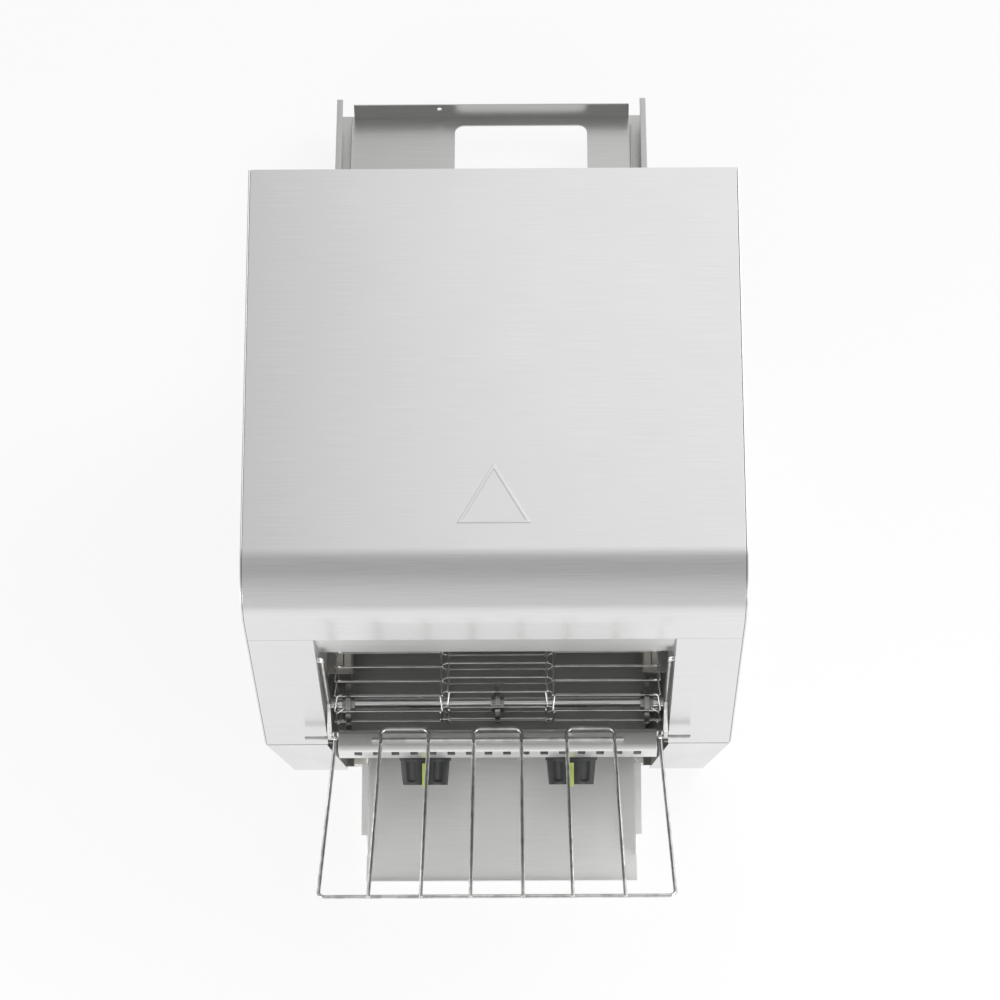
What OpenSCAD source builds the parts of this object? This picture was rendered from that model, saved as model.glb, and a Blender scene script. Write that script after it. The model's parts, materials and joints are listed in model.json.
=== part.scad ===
// Countertop conveyor toaster. Bread slides down the wire rack onto a wire belt, passes between two rows of
// quartz heaters and leaves over the rear tray or, under the belt, into the front tray.
// Millimetres. +Z is up, -Y is the front. The origin is the centre of the footprint on the counter.

/* [Housing] */
// Width across the side panels
body_w = 368; // [352:1:384]
// Depth from the front plates to the back panel
body_d = 348; // [344:1:372]
// Height of the top above the counter
body_h = 387; // [376:1:400]
// Radius of the bend from the top into the front
cover_bend_r = 43; // [30:1:50]
// Height of the top above the cover's front edge
seam_drop = 78; // [70:1:84]
// Height of the housing floor above the counter
floor_z = 69; // [67:1:70]
// Sheet metal thickness
sheet = 1.2; // [0.8:0.1:1.5]
// Width of each front plate beside the mouth
cheek_w = 50; // [44:1:54]
// Height of the forehead panel over the mouth
forehead_drop = 82; // [70:1:88]
// How far the forehead panel leans back
forehead_lean = 19; // [16:1:26]
// Height of the sheet flanges that join the panels
flange = 12; // [8:1:15]
// Centreline radius of small sheet bends
fold_r = 1.8; // [1.6:0.1:2.4]

/* [Vents] */
// Number of louvre slots in each column
vent_rows = 9; // [5:1:10]
// Distance between louvre slots
vent_pitch = 9; // [8:0.5:10]
// Length of a louvre slot
vent_len = 56; // [40:1:60]
// Width of a louvre slot
vent_w = 3.2; // [2.4:0.2:4]

/* [Base] */
// Height of the rubber feet
foot_h = 5; // [4:0.5:6]
// Diameter of the rubber feet
foot_d = 22; // [16:1:26]
// Distance of the feet from the front and back
foot_inset = 28; // [20:1:40]
// How far the outside of a leg leans in over its height
leg_lean_out = 19; // [14:1:22]
// How far the inside of a leg leans in over its height
leg_lean_in = 14; // [8:1:16]
// Width of the lip that carries the tray slide
leg_lip = 15; // [13:1:18]

/* [Belt] */
// Height of the upper strand above the counter
belt_z = 110; // [108:1:114]
// Gap between the belt's edge hooks and the mouth's sides
belt_side_gap = 5.5; // [4.5:0.5:8]
// Distance between the belt's rods
rod_pitch = 12; // [11.8:0.1:12.2]
// Diameter of the belt wire
belt_wire = 1.5; // [1.3:0.1:1.6]
// Teeth of each belt sprocket
belt_teeth = 8; // [8]
// Least distance of the drive shaft from the back panel
drive_back = 45.5; // [45:0.5:57]
// Offset of the middle section's rods
mid_shift = 3; // [2:0.5:3.5]
// Distance between the two rows of belt joints
joint_gap = 82.6; // [70:1:90]
// Half width of a belt joint's hook
hook_half = 3; // [2.6:0.1:3.2]
// Distance of the idler shaft behind the front plates
idler_y = 26; // [23:0.1:27]
// Diameter of the belt shafts
shaft_d = 8; // [7:0.5:9]
// Thickness of the belt sprockets
sprocket_t = 4; // [3:0.5:5]
// Distance of the outer sprockets from the belt's edge
sprocket_inset = 11.5; // [11:0.5:16]

/* [Drive] */
// Pitch of the drive chain
chain_pitch = 8; // [8:0.1:8.4]
// Teeth of both chain wheels
chain_teeth = 12; // [12]
// Chain pitches between the two chain wheels
chain_span = 9; // [9:1:10]
// Diameter of the motor's output shaft
motor_shaft_d = 7; // [6:0.5:8]
// Diameter of the fan's blade circle
fan_d = 72; // [60:1:74]
// Number of fan blades
fan_blades = 7; // [5:1:9]

/* [Heaters] */
// Outer diameter of the quartz tubes
tube_d = 10; // [9:0.5:11]
// Wall of the quartz tubes
tube_wall = 1; // [0.8:0.1:1.2]
// Diameter of the heating coils
coil_d = 5; // [4:0.5:6]
// Distance of the upper heaters below the forehead panel's lower edge
upper_heat_drop = 22; // [16:1:26]
// Height of the lower heaters above the counter
lower_heat_z = 92; // [91:0.5:93]
// Heaters in each row
heat_count = 3; // [2:1:3]
// Distance of the first heater behind the idler shaft
heat_front = 58; // [52:0.5:64]
// Distance of the last heater in front of the drive shaft
heat_rear = 62; // [54:0.5:66]
// Height of the upper reflector above the upper heaters
reflector_rise = 22; // [18:1:26]

/* [Landing plate] */
// Height of the landing plate above the counter
landing_z = 104; // [102:0.5:104]
// Gap between the landing plate and the mouth's sides
landing_side_gap = 9.5; // [9:0.5:14]
// How far the slotted bar stands in front of the front plates
bar_reach = 17; // [15:0.5:19]
// Height of the slotted bar's face
bar_h = 18; // [15:1:20]
// Radius of the bar's bend
bar_bend_r = 4; // [3:0.5:5]
// Number of slots in the bar
slot_count = 16; // [12:1:16]
// Distance of the outer slots' middles from the bar's ends
slot_inset = 15.4; // [10:0.1:20]
// Width of a slot
slot_w = 6; // [5:0.5:7]
// Height of a slot
slot_h = 8; // [6:0.5:10]

/* [Cable gland] */
// Diameter of the gland's thread
gland_d = 16; // [12:1:20]
// Bore of the gland for the cable
gland_bore = 8; // [6:0.5:10]
// Distance of the gland from the right side
gland_inset = 34; // [28:1:40]
// Height of the gland above the counter
gland_z = 129; // [125:1:200]

/* [Controls] */
// Distance between the knobs
knob_gap = 115.5; // [105:1:120]
// Height of the knobs above the counter
knob_z = 58; // [57:0.5:59]
// Diameter of the knob's rim
knob_rim_d = 41; // [40:1:45]
// Diameter of the knob's body at the rim
knob_body_d = 39; // [36:0.5:40]
// Diameter of the knob's front
knob_tip_d = 35.4; // [32:0.2:36]
// Length of the knob
knob_len = 22; // [20:1:26]
// Thickness of the knob's rim
knob_rim_t = 3; // [2:0.5:4]
// Number of finger grooves round the knob
knob_flutes = 5; // [5]
// Radius of the finger grooves
flute_r = 8; // [7:0.5:9]
// Depth of the finger grooves
flute_depth = 2.6; // [1.5:0.1:3]
// Width of the pointer
pointer_w = 4; // [3:0.5:5]
// Diameter of the control spindles
spindle_d = 6; // [5:0.5:6.5]
// Width of the switch bodies
switch_w = 26; // [22:1:26]
// Depth of the switch bodies
switch_len = 20; // [17:1:20]
// Bottom edge of the control panel above the counter
panel_low_z = 33; // [31:1:35]
// How far the control panel leans back towards its lower edge
panel_lean = 18; // [14:0.5:20]

/* [Feed rack] */
// Diameter of the rack wire
rack_wire = 3; // [2.6:0.1:3.4]
// Gap between the rack's eyes and the mouth's sides
rack_side_gap = 5.7; // [5:0.1:6.5]
// How much wider the rack is at its front bar
rack_flare = 14.4; // [8:0.2:20]
// Length of the rack from the pivots to the front bar
rack_len = 180; // [160:1:190]
// Slope of the rack when it is down
rack_slope = 30; // [26:1:33]
// Distance of the pivots in front of the front plates
pivot_reach = 6.5; // [5.5:0.5:7]
// Height of the pivots above the counter
pivot_z = 104; // [103:0.5:105]
// Distance between the legs of a hairpin at its closed rear end
hairpin_w = 37.2; // [32:0.2:38]
// Distance between the hairpins' middles at their rear ends
hairpin_gap = 72.6; // [66:0.2:74]
// Length of the hairpins' level ends over the landing plate
hairpin_tail = 12; // [9:0.5:12]
// Bend radius of the rack wire
rack_bend_r = 5; // [4:0.5:7]
// Diameter of the hangers' wire
hanger_wire = 4; // [3:0.5:4.5]
// Height of the hangers' top hooks above the forehead panel's lower edge
hanger_rise = 17; // [8:1:30]
// Distance of the hangers' top hooks behind the front plates
hanger_y = 8; // [7:0.5:12]
// Height of the hangers' lower bends above the counter
hanger_knee_z = 137; // [125:1:150]
// Length of the pegs in front of the front plates
peg_len = 17; // [12:1:20]

/* [Front tray] */
// Gap between the front tray's hems and the legs' lower edges
tray_side_gap = 9.5; // [8:0.5:12]
// How far the tray sits to the right between the legs
tray_shift = 2.4; // [-3:0.2:3]
// How far the tray's floor stands in front of the front plates
tray_reach = 97.5; // [90:0.5:110]
// How far the tray's side walls stand in front of the front plates
tray_wall_reach = 74; // [60:1:80]
// How far the tray runs in under the chute
tray_in = 120; // [80:1:150]
// Height of the tray's side walls
tray_wall_h = 15; // [10:1:16]
// Width of the hem on the tray's side walls
tray_hem = 4; // [3:0.5:5]
// Height of the nylon tray slides
slide_h = 5.4; // [5:0.1:6]

/* [Rear tray] */
// Slope of the rear tray
chute_slope = 14; // [12:0.5:15]
// Length of the rear rails along the slope
chute_len = 238; // [220:1:240]
// Height of the rails' floor at the back panel
chute_z = 80; // [79:0.5:82]
// Distance of the rear rails' outer faces inside the mouth's sides
rail_side_gap = 3.5; // [3:0.5:6]
// Offset of the rear rails and the rear tray to the left
rear_shift = 5; // [0:0.5:6]
// Height of the rear rails
rail_h = 22; // [18:1:24]
// Width of the rails' top flange
rail_flange = 5; // [5:0.5:8]
// Gap between the rear tray's sides and the rails' outer faces
rear_tray_gap = 12; // [11:0.5:16]
// Height of the rear tray's back lip
rear_lip_h = 18.5; // [14:0.5:28]
// Height of the rear tray's side lips
rear_side_h = 8; // [6:1:10]
// Width of the window in the rear tray
window_w = 112; // [90:1:116]
// Length of the window in the rear tray
window_len = 120; // [80:1:130]
// Offset of the window to the right
window_x = 25; // [15:1:28]
// Distance of the window from the tray's back lip
window_edge = 9; // [6:0.5:14]

/* [Hidden] */
$fn = 48;

// Clearances
seat_gap = 0.3;    // between pieces of different bodies
panel_gap = 0.2;   // between panels that meet edge to edge
run_gap = 0.05;    // radial, shaft in bush
tooth_gap = 0.35;  // radial, sprocket pocket round a rod

// Widths
mouth_w = body_w - 2 * cheek_w;
inner_w = body_w - 2 * (sheet + panel_gap);
bay_x = mouth_w / 2 + sheet;
belt_w = mouth_w - 2 * belt_side_gap;
sprocket_x = belt_w / 2 - sprocket_inset;
landing_w = mouth_w - 2 * landing_side_gap;
rack_rear_w = mouth_w - 2 * rack_side_gap;
rack_front_w = rack_rear_w + rack_flare;
rail_gap = mouth_w - 2 * rail_side_gap;
rear_tray_w = rail_gap - 2 * rear_tray_gap;

// Heights that follow the housing's
seam_z = body_h - seam_drop;
forehead_z = seam_z - forehead_drop;
upper_heat_z = forehead_z - upper_heat_drop;
hanger_top_z = forehead_z + hanger_rise;

// Rack and rear tray reach, which set the footprint's centre
pivot_y = -pivot_reach;
weld = 0.2;        // how far welded wires sink into each other
rack_tip = max(rack_wire / 2, (1.5 * rack_wire - weld) * sin(rack_slope));
rack_front_y = pivot_y - rack_len * cos(rack_slope) - rack_tip;
rail_end_y = body_d + chute_len * cos(chute_slope) + rail_h * sin(chute_slope);
front_y = -(rack_front_y + rail_end_y) / 2;

// Belt loop
belt_r = rod_pitch / 2 / sin(180 / belt_teeth);
shaft_z = belt_z - belt_r;
belt_span = floor((body_d - drive_back - idler_y) / rod_pitch);
drive_y = idler_y + belt_span * rod_pitch;
belt_rods = 2 * belt_span + belt_teeth;
hook_rise = belt_wire + 0.15;
hook_past = 1.5;
hook_spread = 1.6;
wire_sides = 5;
round_sides = 10;
bend_steps = 4;
joint_x = joint_gap / 2;
belt_edge = belt_w / 2 - belt_wire / 2;

// Belt guides
guide_top = belt_z - belt_wire / 2 - hook_rise - 0.4;
guide_block_h = 6;
rail_in = 20;
rail_web = 8;
rail_z = guide_top - guide_block_h;
rail_y = idler_y + 22;
rail_len = drive_y - idler_y - 44;

// Chain loop
chain_r = chain_pitch / 2 / sin(180 / chain_teeth);
chain_x = bay_x + 10;
motor_y = drive_y - chain_span * chain_pitch;
chain_links = 2 * chain_span + chain_teeth;
chain_roller_d = 4.6;
chain_plate_h = 6.4;
chain_plate_t = 0.8;
chain_inner_w = 3;
chain_sink = 0.1;
motor_face_x = chain_x + 12;
motor_t = 20;

// Lean of the teeth's flanks on all sprockets
flank_lean = 16;

// Bushes
bush_d = shaft_d + 6;
bush_flange_d = shaft_d + 12;
bush_len = 8;
bush_flange_t = 2;

// Heaters
cap_d = tube_d + 3;
coil_end_d = 2.4;
cap_len = 12;
tube_seat = 8;
tube_len = mouth_w - 2 * (cap_len - tube_seat);
heat_pitch = (drive_y - idler_y - heat_front - heat_rear) / (heat_count - 1);
heaters = [for (i = [0:heat_count - 1]) idler_y + heat_front + i * heat_pitch];

// Screws
screw_head_d = 7;
screw_head_h = 1.2;
screw_d = 3.5;
screw_len = 5;
screw_hole_d = screw_d + 0.2;
back_screw_x = inner_w / 2 - 8;
back_screw_z = [floor_z + 20, body_h / 2 + 40, body_h - 20];
side_screw_y = [40, body_d / 2, body_d - 40];
side_screw_z = floor_z + 8;

// Controls
panel_top_y = -bar_reach + 2;
panel_top_z = landing_z - bar_h - sheet;
panel_w = 2 * (mouth_w / 2 + 1 - leg_lean_in) - 2;
spindle_in = 14;

// Slots
slot_pitch = (landing_w - 2 * slot_inset) / (slot_count - 1);

// Motor bracket and terminal block
bracket_w = 70;
bracket_h = 76;
bracket_rear = 24;
terminal_y = 120;
terminal_w = 18;
terminal_pitch = 12;
terminal_h = 16;

// Base legs
leg_top_z = floor_z - sheet;
leg_out = body_w / 2 - 1;
leg_in = mouth_w / 2 + 1;
slide_top = foot_h + sheet + slide_h;
slide_w = 10;
tray_w = 2 * (leg_in - leg_lean_in - tray_side_gap);

// Front tray
tray_z = slide_top + seat_gap;
tray_inner_wall_h = 5;

// Chute under the belt
ramp_front_y = 12;
ramp_front_z = 22;
ramp_rear_z = floor_z - 2;
ramp_w = panel_w - 4;

// Rear tray, in the rails' sloping frame
exit_w = rail_gap - 22;
exit_h = 70;
window_r = 8;

// Fan
fan_frame_w = fan_d + 8;
fan_frame_t = 25;
fan_standoff = 8;
fan_hub_d = 30;
fan_x = -(bay_x + fan_standoff);
fan_y = body_d - 148;
fan_z = body_h - 197;

// Feed rack
eye_bore = rack_wire + 2 * seat_gap;
eye_d = eye_bore + 1.7 * rack_wire;
rack_x = (rack_rear_w - rack_wire) / 2;
rack_spread = (rack_front_w - rack_wire) / (rack_rear_w - rack_wire);
tail_z = landing_z + seat_gap + 1.5 * rack_wire - weld;
tail_y = -0.8;
hook_drop = 1.5;

// --- Helpers ---

// Moves children from the front frame, where Y = 0 is the front plates' face, to the part's origin.
module machine() {
    translate([0, front_y, 0]) children();
}

// The children and their mirror image in the middle plane.
module both_sides() {
    children();
    mirror([1, 0, 0]) children();
}

// A round bar along X, centred on x.
module bar_x(x, y, z, d, len) {
    translate([x, y, z]) rotate([0, 90, 0]) cylinder(d = d, h = len, center = true);
}

// A round bar along +Y from y.
module bar_y(x, y, z, d, len) {
    translate([x, y, z]) rotate([-90, 0, 0]) cylinder(d = d, h = len);
}

// A polygon in the YZ plane, extruded along X and centred on x.
module slab_x(points, x, width) {
    translate([x, 0, 0]) rotate([90, 0, 90])
        linear_extrude(height = width, center = true) polygon(points);
}

function unit(v) = v / norm(v);

// Distance from a corner to the start of its bend.
function bend_cut(u, v, r) = r * tan(acos(max(-1, min(1, u * v))) / 2);

// The points of a bend at corner p, from direction u to direction v.
function bend_points(p, u, v, r) =
    let (n = unit(v - (v * u) * u), turn = acos(u * v), centre = p - bend_cut(u, v, r) * u + r * n)
    [for (k = [0:bend_steps]) let (a = k * turn / bend_steps) centre + r * (sin(a) * u - cos(a) * n)];

// A path whose inner corners are replaced by bends of radius r.
function round_path(path, r) =
    let (last = len(path) - 1, dirs = [for (i = [0:last - 1]) unit(path[i + 1] - path[i])])
    [path[0], for (i = [1:1:last - 1]) each bend_points(path[i], dirs[i - 1], dirs[i], r), path[last]];

// The rings of a tube swept along a path, with its seams turned to ref.
function tube_points(path, d, sides, ref) =
    let (last = len(path) - 1, dirs = [for (i = [0:last - 1]) unit(path[i + 1] - path[i])])
    [for (i = [0:last], k = [0:sides - 1])
        let (t = unit(dirs[max(0, i - 1)] + dirs[min(last - 1, i)]))
        let (side = unit(cross(t, ref)), up = cross(side, t), a = k * 360 / sides)
            path[i] + d / 2 * (cos(a) * side + sin(a) * up)];

// The faces of a tube of so many rings, whose first point has the number first.
function tube_faces(rings, sides, first) =
    [[for (k = [sides - 1:-1:0]) first + k],
        for (i = [0:rings - 2], k = [0:sides - 1])
            let (a = first + i * sides + k, b = first + i * sides + (k + 1) % sides)
                each [[a, b, b + sides], [a, b + sides, a + sides]],
        [for (k = [0:sides - 1]) first + (rings - 1) * sides + k]];

// Round wire along a path of straight runs and round bends.
module wire(path, d, r, ref = [0.48, 0.6, 0.64]) {
    rings = round_path(path, r);
    polyhedron(tube_points(rings, d, round_sides, ref), tube_faces(len(rings), round_sides, 0));
}

// Sheet folded along a path in the YZ plane, centred on x. The path is the middle of the sheet.
module folded_sheet(path, x, width, r = fold_r) {
    line = round_path(path, r);
    last = len(line) - 1;
    dirs = [for (i = [0:last - 1]) unit(line[i + 1] - line[i])];
    sides = [for (i = [0:last])
        let (u = dirs[max(0, i - 1)], v = dirs[min(last - 1, i)])
            sheet / 2 * [-u[1] - v[1], u[0] + v[0]] / (1 + u * v)];
    slab_x(concat([for (i = [0:last]) line[i] + sides[i]], [for (i = [last:-1:0]) line[i] - sides[i]]), x, width);
}

// A slot with round ends along X or Y, cut square through a wall.
module slot_cut(len, w, depth) {
    cube([len - w, w, depth], center = true);
    for (s = [-1, 1]) translate([s * (len - w) / 2, 0, 0]) cylinder(d = w, h = depth, center = true, $fn = 24);
}

// The housing's side outline, extruded along X: a block with a round front top edge.
module housing_form(x, width, inset, low_z) {
    translate([x - width / 2, 0, 0]) {
        translate([0, cover_bend_r, low_z])
            cube([width, body_d - cover_bend_r, body_h - inset - low_z]);
        translate([0, inset, low_z])
            cube([width, body_d - inset, body_h - cover_bend_r - low_z]);
        intersection() {
            translate([0, cover_bend_r, body_h - cover_bend_r])
                rotate([0, 90, 0]) cylinder(r = cover_bend_r - inset, h = width, $fn = 96);
            translate([-1, -1, body_h - cover_bend_r - 1]) cube([width + 2, cover_bend_r + 2, cover_bend_r + 2]);
        }
    }
}

// --- Casing ---

module top_cover() {
    width = inner_w;
    color("#d3d5d6") machine() {
        difference() {
            housing_form(0, width, 0, seam_z);
            housing_form(0, width + 2, sheet, seam_z - 1);
        }
        // Stiffening hem under the rear edge
        translate([-width / 2 + flange, body_d - flange - sheet, body_h - 2 * sheet])
            cube([width - 2 * flange, flange, 1.5 * sheet]);
        embossed_triangle();
    }
}

// Plain raised triangular bead on the top.
module embossed_triangle() {
    base_w = 54;
    tall = 47;
    near_y = 61.5;
    bead = 2.4;
    corners = [[-base_w / 2, near_y], [base_w / 2, near_y], [0, near_y + tall]];
    side = norm([base_w / 2, tall]);
    in_r = base_w * tall / (base_w + 2 * side);
    centre = [0, near_y + in_r];
    translate([0, 0, body_h - sheet / 2]) linear_extrude(height = sheet / 2 + 0.6) difference() {
        polygon(corners);
        polygon([for (c = corners) centre + (c - centre) * (1 - bead / in_r)]);
    }
}

module side_panel() {
    x = body_w / 2 - sheet / 2;
    vent_y = body_d - 70;
    difference() {
        housing_form(x, sheet, panel_gap, floor_z);
        for (row = [0:vent_rows - 1], col = [0, 1])
            translate([x, vent_y - col * (vent_len + 14), 100 + row * vent_pitch])
                rotate([90, 0, 90]) slot_cut(vent_len, vent_w, 3 * sheet);
        for (y = side_screw_y) bar_x(x, y, side_screw_z, screw_hole_d, 3 * sheet);
    }
    // Louvre hoods over the slots
    for (row = [0:vent_rows - 1], col = [0, 1])
        translate([x - sheet / 2, vent_y - col * (vent_len + 14), 100 + row * vent_pitch + vent_w / 2])
            louvre_hood();
}

// A pressed hood on the inner face, over one slot.
module louvre_hood() {
    reach = 2.4;
    slab_x([[-vent_len / 2, 0], [vent_len / 2, 0], [vent_len / 2, reach], [-vent_len / 2, reach]],
        -reach / 2, reach);
}

module left_side_panel() {
    color("#c9cbcc") machine() mirror([1, 0, 0]) side_panel();
}

module right_side_panel() {
    color("#d8dadb") machine() side_panel();
}

module front_plate() {
    outer = inner_w / 2;
    low = floor_z;
    high = seam_z - panel_gap;
    translate([mouth_w / 2, 0, low]) cube([outer - mouth_w / 2, sheet, high - low]);
    // Flange behind the plate, along the side panel
    translate([outer - sheet, sheet, low + flange]) cube([sheet, flange, high - low - flange]);
}

module left_front_plate() {
    color("#dcdedf") machine() mirror([1, 0, 0]) front_plate();
}

module right_front_plate() {
    color("#e2e4e5") machine() front_plate();
}

module forehead_panel() {
    mid = 1.5 * sheet;
    color("#c4c6c7") machine()
        folded_sheet([[mid, seam_z + flange], [mid, seam_z - 2], [forehead_lean + mid, forehead_z],
            [forehead_lean + mid + flange, forehead_z]], 0, mouth_w - 2 * panel_gap);
}

module back_panel() {
    low = floor_z;
    high = body_h - sheet - panel_gap;
    color("#c6c8c9") machine() difference() {
        union() {
            translate([-inner_w / 2, body_d - sheet, low]) cube([inner_w, sheet, high - low]);
            both_sides() translate([inner_w / 2 - sheet, body_d - sheet - flange, low + flange])
                cube([sheet, flange, high - low - 2 * flange]);
        }
        // Opening for the toast
        translate([-exit_w / 2, body_d - 2 * sheet, chute_z]) cube([exit_w, 3 * sheet, exit_h]);
        both_sides() for (z = back_screw_z) bar_y(back_screw_x, body_d - 2 * sheet, z, screw_hole_d, 3 * sheet);
        // Vents
        for (row = [0:vent_rows - 1], side = [-1, 0, 1])
            translate([side * (vent_len + 20), body_d - sheet / 2, body_h - 147 + row * vent_pitch])
                rotate([90, 0, 0]) slot_cut(vent_len, vent_w, 3 * sheet);
        // Hole for the cable gland
        bar_y(body_w / 2 - gland_inset, body_d - 2 * sheet, gland_z, gland_d, 3 * sheet);
    }
}

module cable_gland() {
    x = body_w / 2 - gland_inset;
    flange_t = 4;
    nut_t = 6;
    thread_in = 8;
    cap_t = 8;
    color("#2c2d2e") machine() difference() {
        union() {
            bar_y(x, body_d - sheet - thread_in, gland_z, gland_d, thread_in + sheet + flange_t);
            bar_y(x, body_d, gland_z, gland_d + 6, flange_t);
            bar_y(x, body_d + flange_t, gland_z, gland_d + 2, cap_t);
            bar_y(x, body_d - sheet - nut_t, gland_z, gland_d + 5, nut_t);
        }
        bar_y(x, body_d - 3 * thread_in, gland_z, gland_bore, 6 * thread_in);
    }
}

module floor_plate() {
    hole_w = mouth_w - 6;
    edge = sheet + panel_gap;
    color("#a9abac") machine() difference() {
        union() {
            translate([-inner_w / 2, edge, floor_z - sheet]) cube([inner_w, body_d - 2 * edge, sheet]);
            // Flanges that the side panels are screwed to
            both_sides() translate([inner_w / 2 - sheet, 2 * flange, floor_z - sheet])
                cube([sheet, body_d - 4 * flange, flange + sheet]);
        }
        // Opening under the belt, through to the front edge
        translate([-hole_w / 2, -1, floor_z - 2 * sheet]) cube([hole_w, body_d - edge - 4 + 1, 3 * sheet]);
        both_sides() for (y = side_screw_y) bar_x(inner_w / 2, y, side_screw_z, screw_hole_d, 4 * sheet);
    }
}

// Section of a leg at inset t from its faces, open at the top.
module leg_section(t, top) {
    tall = leg_top_z - foot_h;
    out_step = leg_lean_out / tall;
    in_step = leg_lean_in / tall;
    low = foot_h + t;
    polygon([
        [leg_in - leg_lean_in + t * sqrt(1 + in_step * in_step) + in_step * (low - foot_h), low],
        [leg_out - leg_lean_out - t * sqrt(1 + out_step * out_step) + out_step * (low - foot_h), low],
        [leg_out - t * sqrt(1 + out_step * out_step) + out_step * (top - leg_top_z), top],
        [leg_in + t * sqrt(1 + in_step * in_step) + in_step * (top - leg_top_z), top]]);
}

module base_leg() {
    difference() {
        translate([0, body_d, 0]) rotate([90, 0, 0]) linear_extrude(height = body_d) leg_section(0, leg_top_z);
        translate([0, body_d - sheet, 0]) rotate([90, 0, 0])
            linear_extrude(height = body_d - 2 * sheet) leg_section(sheet, leg_top_z + 1);
    }
    // Lip under the tray slide
    translate([leg_in - leg_lean_in - leg_lip, 2 * sheet, foot_h]) cube([leg_lip + 1, body_d - 4 * sheet, sheet]);
}

module left_base_leg() {
    color("#b7b9ba") machine() mirror([1, 0, 0]) base_leg();
}

module right_base_leg() {
    color("#c8cacb") machine() base_leg();
}

module rubber_feet() {
    x = (leg_out - leg_lean_out + leg_in - leg_lean_in) / 2;
    color("#222324") machine() both_sides() for (y = [foot_inset, body_d - foot_inset])
        translate([x, y, 0]) cylinder(d1 = foot_d - 2, d2 = foot_d, h = foot_h);
}

// --- Chassis ---

module chassis_plate() {
    top = seam_z + flange;
    difference() {
        union() {
            translate([mouth_w / 2, sheet, floor_z])
                cube([sheet, body_d - 2 * sheet - panel_gap, top - floor_z]);
            // Flange on the floor plate
            translate([mouth_w / 2, 2 * flange, floor_z])
                cube([flange + sheet, body_d - 4 * flange, sheet]);
        }
        for (y = [idler_y, drive_y]) bar_x(mouth_w / 2, y, shaft_z, bush_d, 4 * sheet);
        // Hole for the rack hanger's hook, long enough for its bend
        for (drop = [0, hook_drop])
            bar_x(mouth_w / 2, hanger_y, hanger_top_z - drop, hanger_wire + 2 * seat_gap, 4 * sheet);
    }
}

module left_chassis_plate() {
    color("#8f9193") machine() mirror([1, 0, 0]) chassis_plate();
}

module right_chassis_plate() {
    color("#8f9193") machine() chassis_plate();
}

module upper_reflector() {
    z = upper_heat_z + reflector_rise;
    front = forehead_lean + 2 * sheet + flange;
    color("#a5a7a8") machine()
        folded_sheet([[front, z - 14], [front + 6, z], [body_d - 60, z], [body_d - 48, z - 24]],
            0, mouth_w - 2 * panel_gap);
}

module shaft_bushes() {
    color("#b08d4f") machine() both_sides() for (y = [idler_y, drive_y]) difference() {
        union() {
            bar_x(bay_x + bush_len / 2 - sheet - 1, y, shaft_z, bush_d, bush_len);
            bar_x(bay_x + bush_flange_t / 2, y, shaft_z, bush_flange_d, bush_flange_t);
        }
        bar_x(bay_x, y, shaft_z, shaft_d + 2 * run_gap, 4 * bush_len);
    }
}

module belt_guide_rails() {
    color("#808284") machine() both_sides() difference() {
        union() {
            translate([mouth_w / 2 - rail_in, rail_y, rail_z - sheet]) cube([rail_in, rail_len, sheet]);
            translate([mouth_w / 2 - sheet, rail_y, rail_z - rail_web]) cube([sheet, rail_len, rail_web]);
        }
        // Room for the lower heaters' caps
        for (y = heaters) bar_x(mouth_w / 2, y, lower_heat_z, cap_d + 2 * panel_gap, 4 * sheet);
    }
}

module belt_guide_blocks() {
    block_len = 18;
    block_w = 5;
    first_y = rail_y + 4;
    step = (rail_len - 8 - block_len) / 2;
    color("#d9d8d2") machine() both_sides() for (i = [0:2], k = [0, 1])
        translate([sprocket_x - 1.5 + k * (block_w + 1), first_y + i * step, rail_z])
            cube([block_w, block_len, guide_top - rail_z]);
}

module landing_plate() {
    mid_z = landing_z - sheet / 2;
    bar_y = -bar_reach + sheet / 2;
    color("#b4b6b7") machine() difference() {
        folded_sheet([[sheet / 2, mid_z - bar_h], [sheet / 2, mid_z], [bar_y, mid_z], [bar_y, mid_z - bar_h]],
            0, landing_w, bar_bend_r);
        for (i = [0:slot_count - 1])
            translate([(i - (slot_count - 1) / 2) * slot_pitch, bar_y, landing_z - bar_bend_r - slot_h / 2 - 0.2])
                cube([slot_w, 4 * sheet, slot_h], center = true);
    }
    color("#b4b6b7") machine() both_sides() landing_ear();
}

// Ear of the landing plate, bent back along the chassis plate.
module landing_ear() {
    low = landing_z - bar_h;
    tall = 11;
    reach = 10;
    translate([landing_w / 2 - 1, 0, low]) cube([(mouth_w - landing_w) / 2 + 1, sheet, tall]);
    translate([mouth_w / 2 - sheet, 0, low]) cube([sheet, reach, tall]);
}

// The panel hangs under the slotted bar and leans back, with a flange along its top and its bottom.
module control_panel() {
    low_y = panel_mid_y(panel_low_z + sheet / 2);
    color("#9b9d9f") difference() {
        machine() folded_sheet([[sheet / 2, panel_top_z], [panel_top_y, panel_top_z],
            [low_y, panel_low_z + sheet / 2], [low_y + flange, panel_low_z + sheet / 2]], 0, panel_w);
        for (side = [-1, 1]) at_knob(side) bar_y(0, -sheet, 0, spindle_d + 1, 4 * sheet);
    }
}

// Y of the middle of the panel's sheet at a height.
function panel_mid_y(z) = panel_top_y + (panel_top_z - z) * tan(panel_lean);

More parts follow.
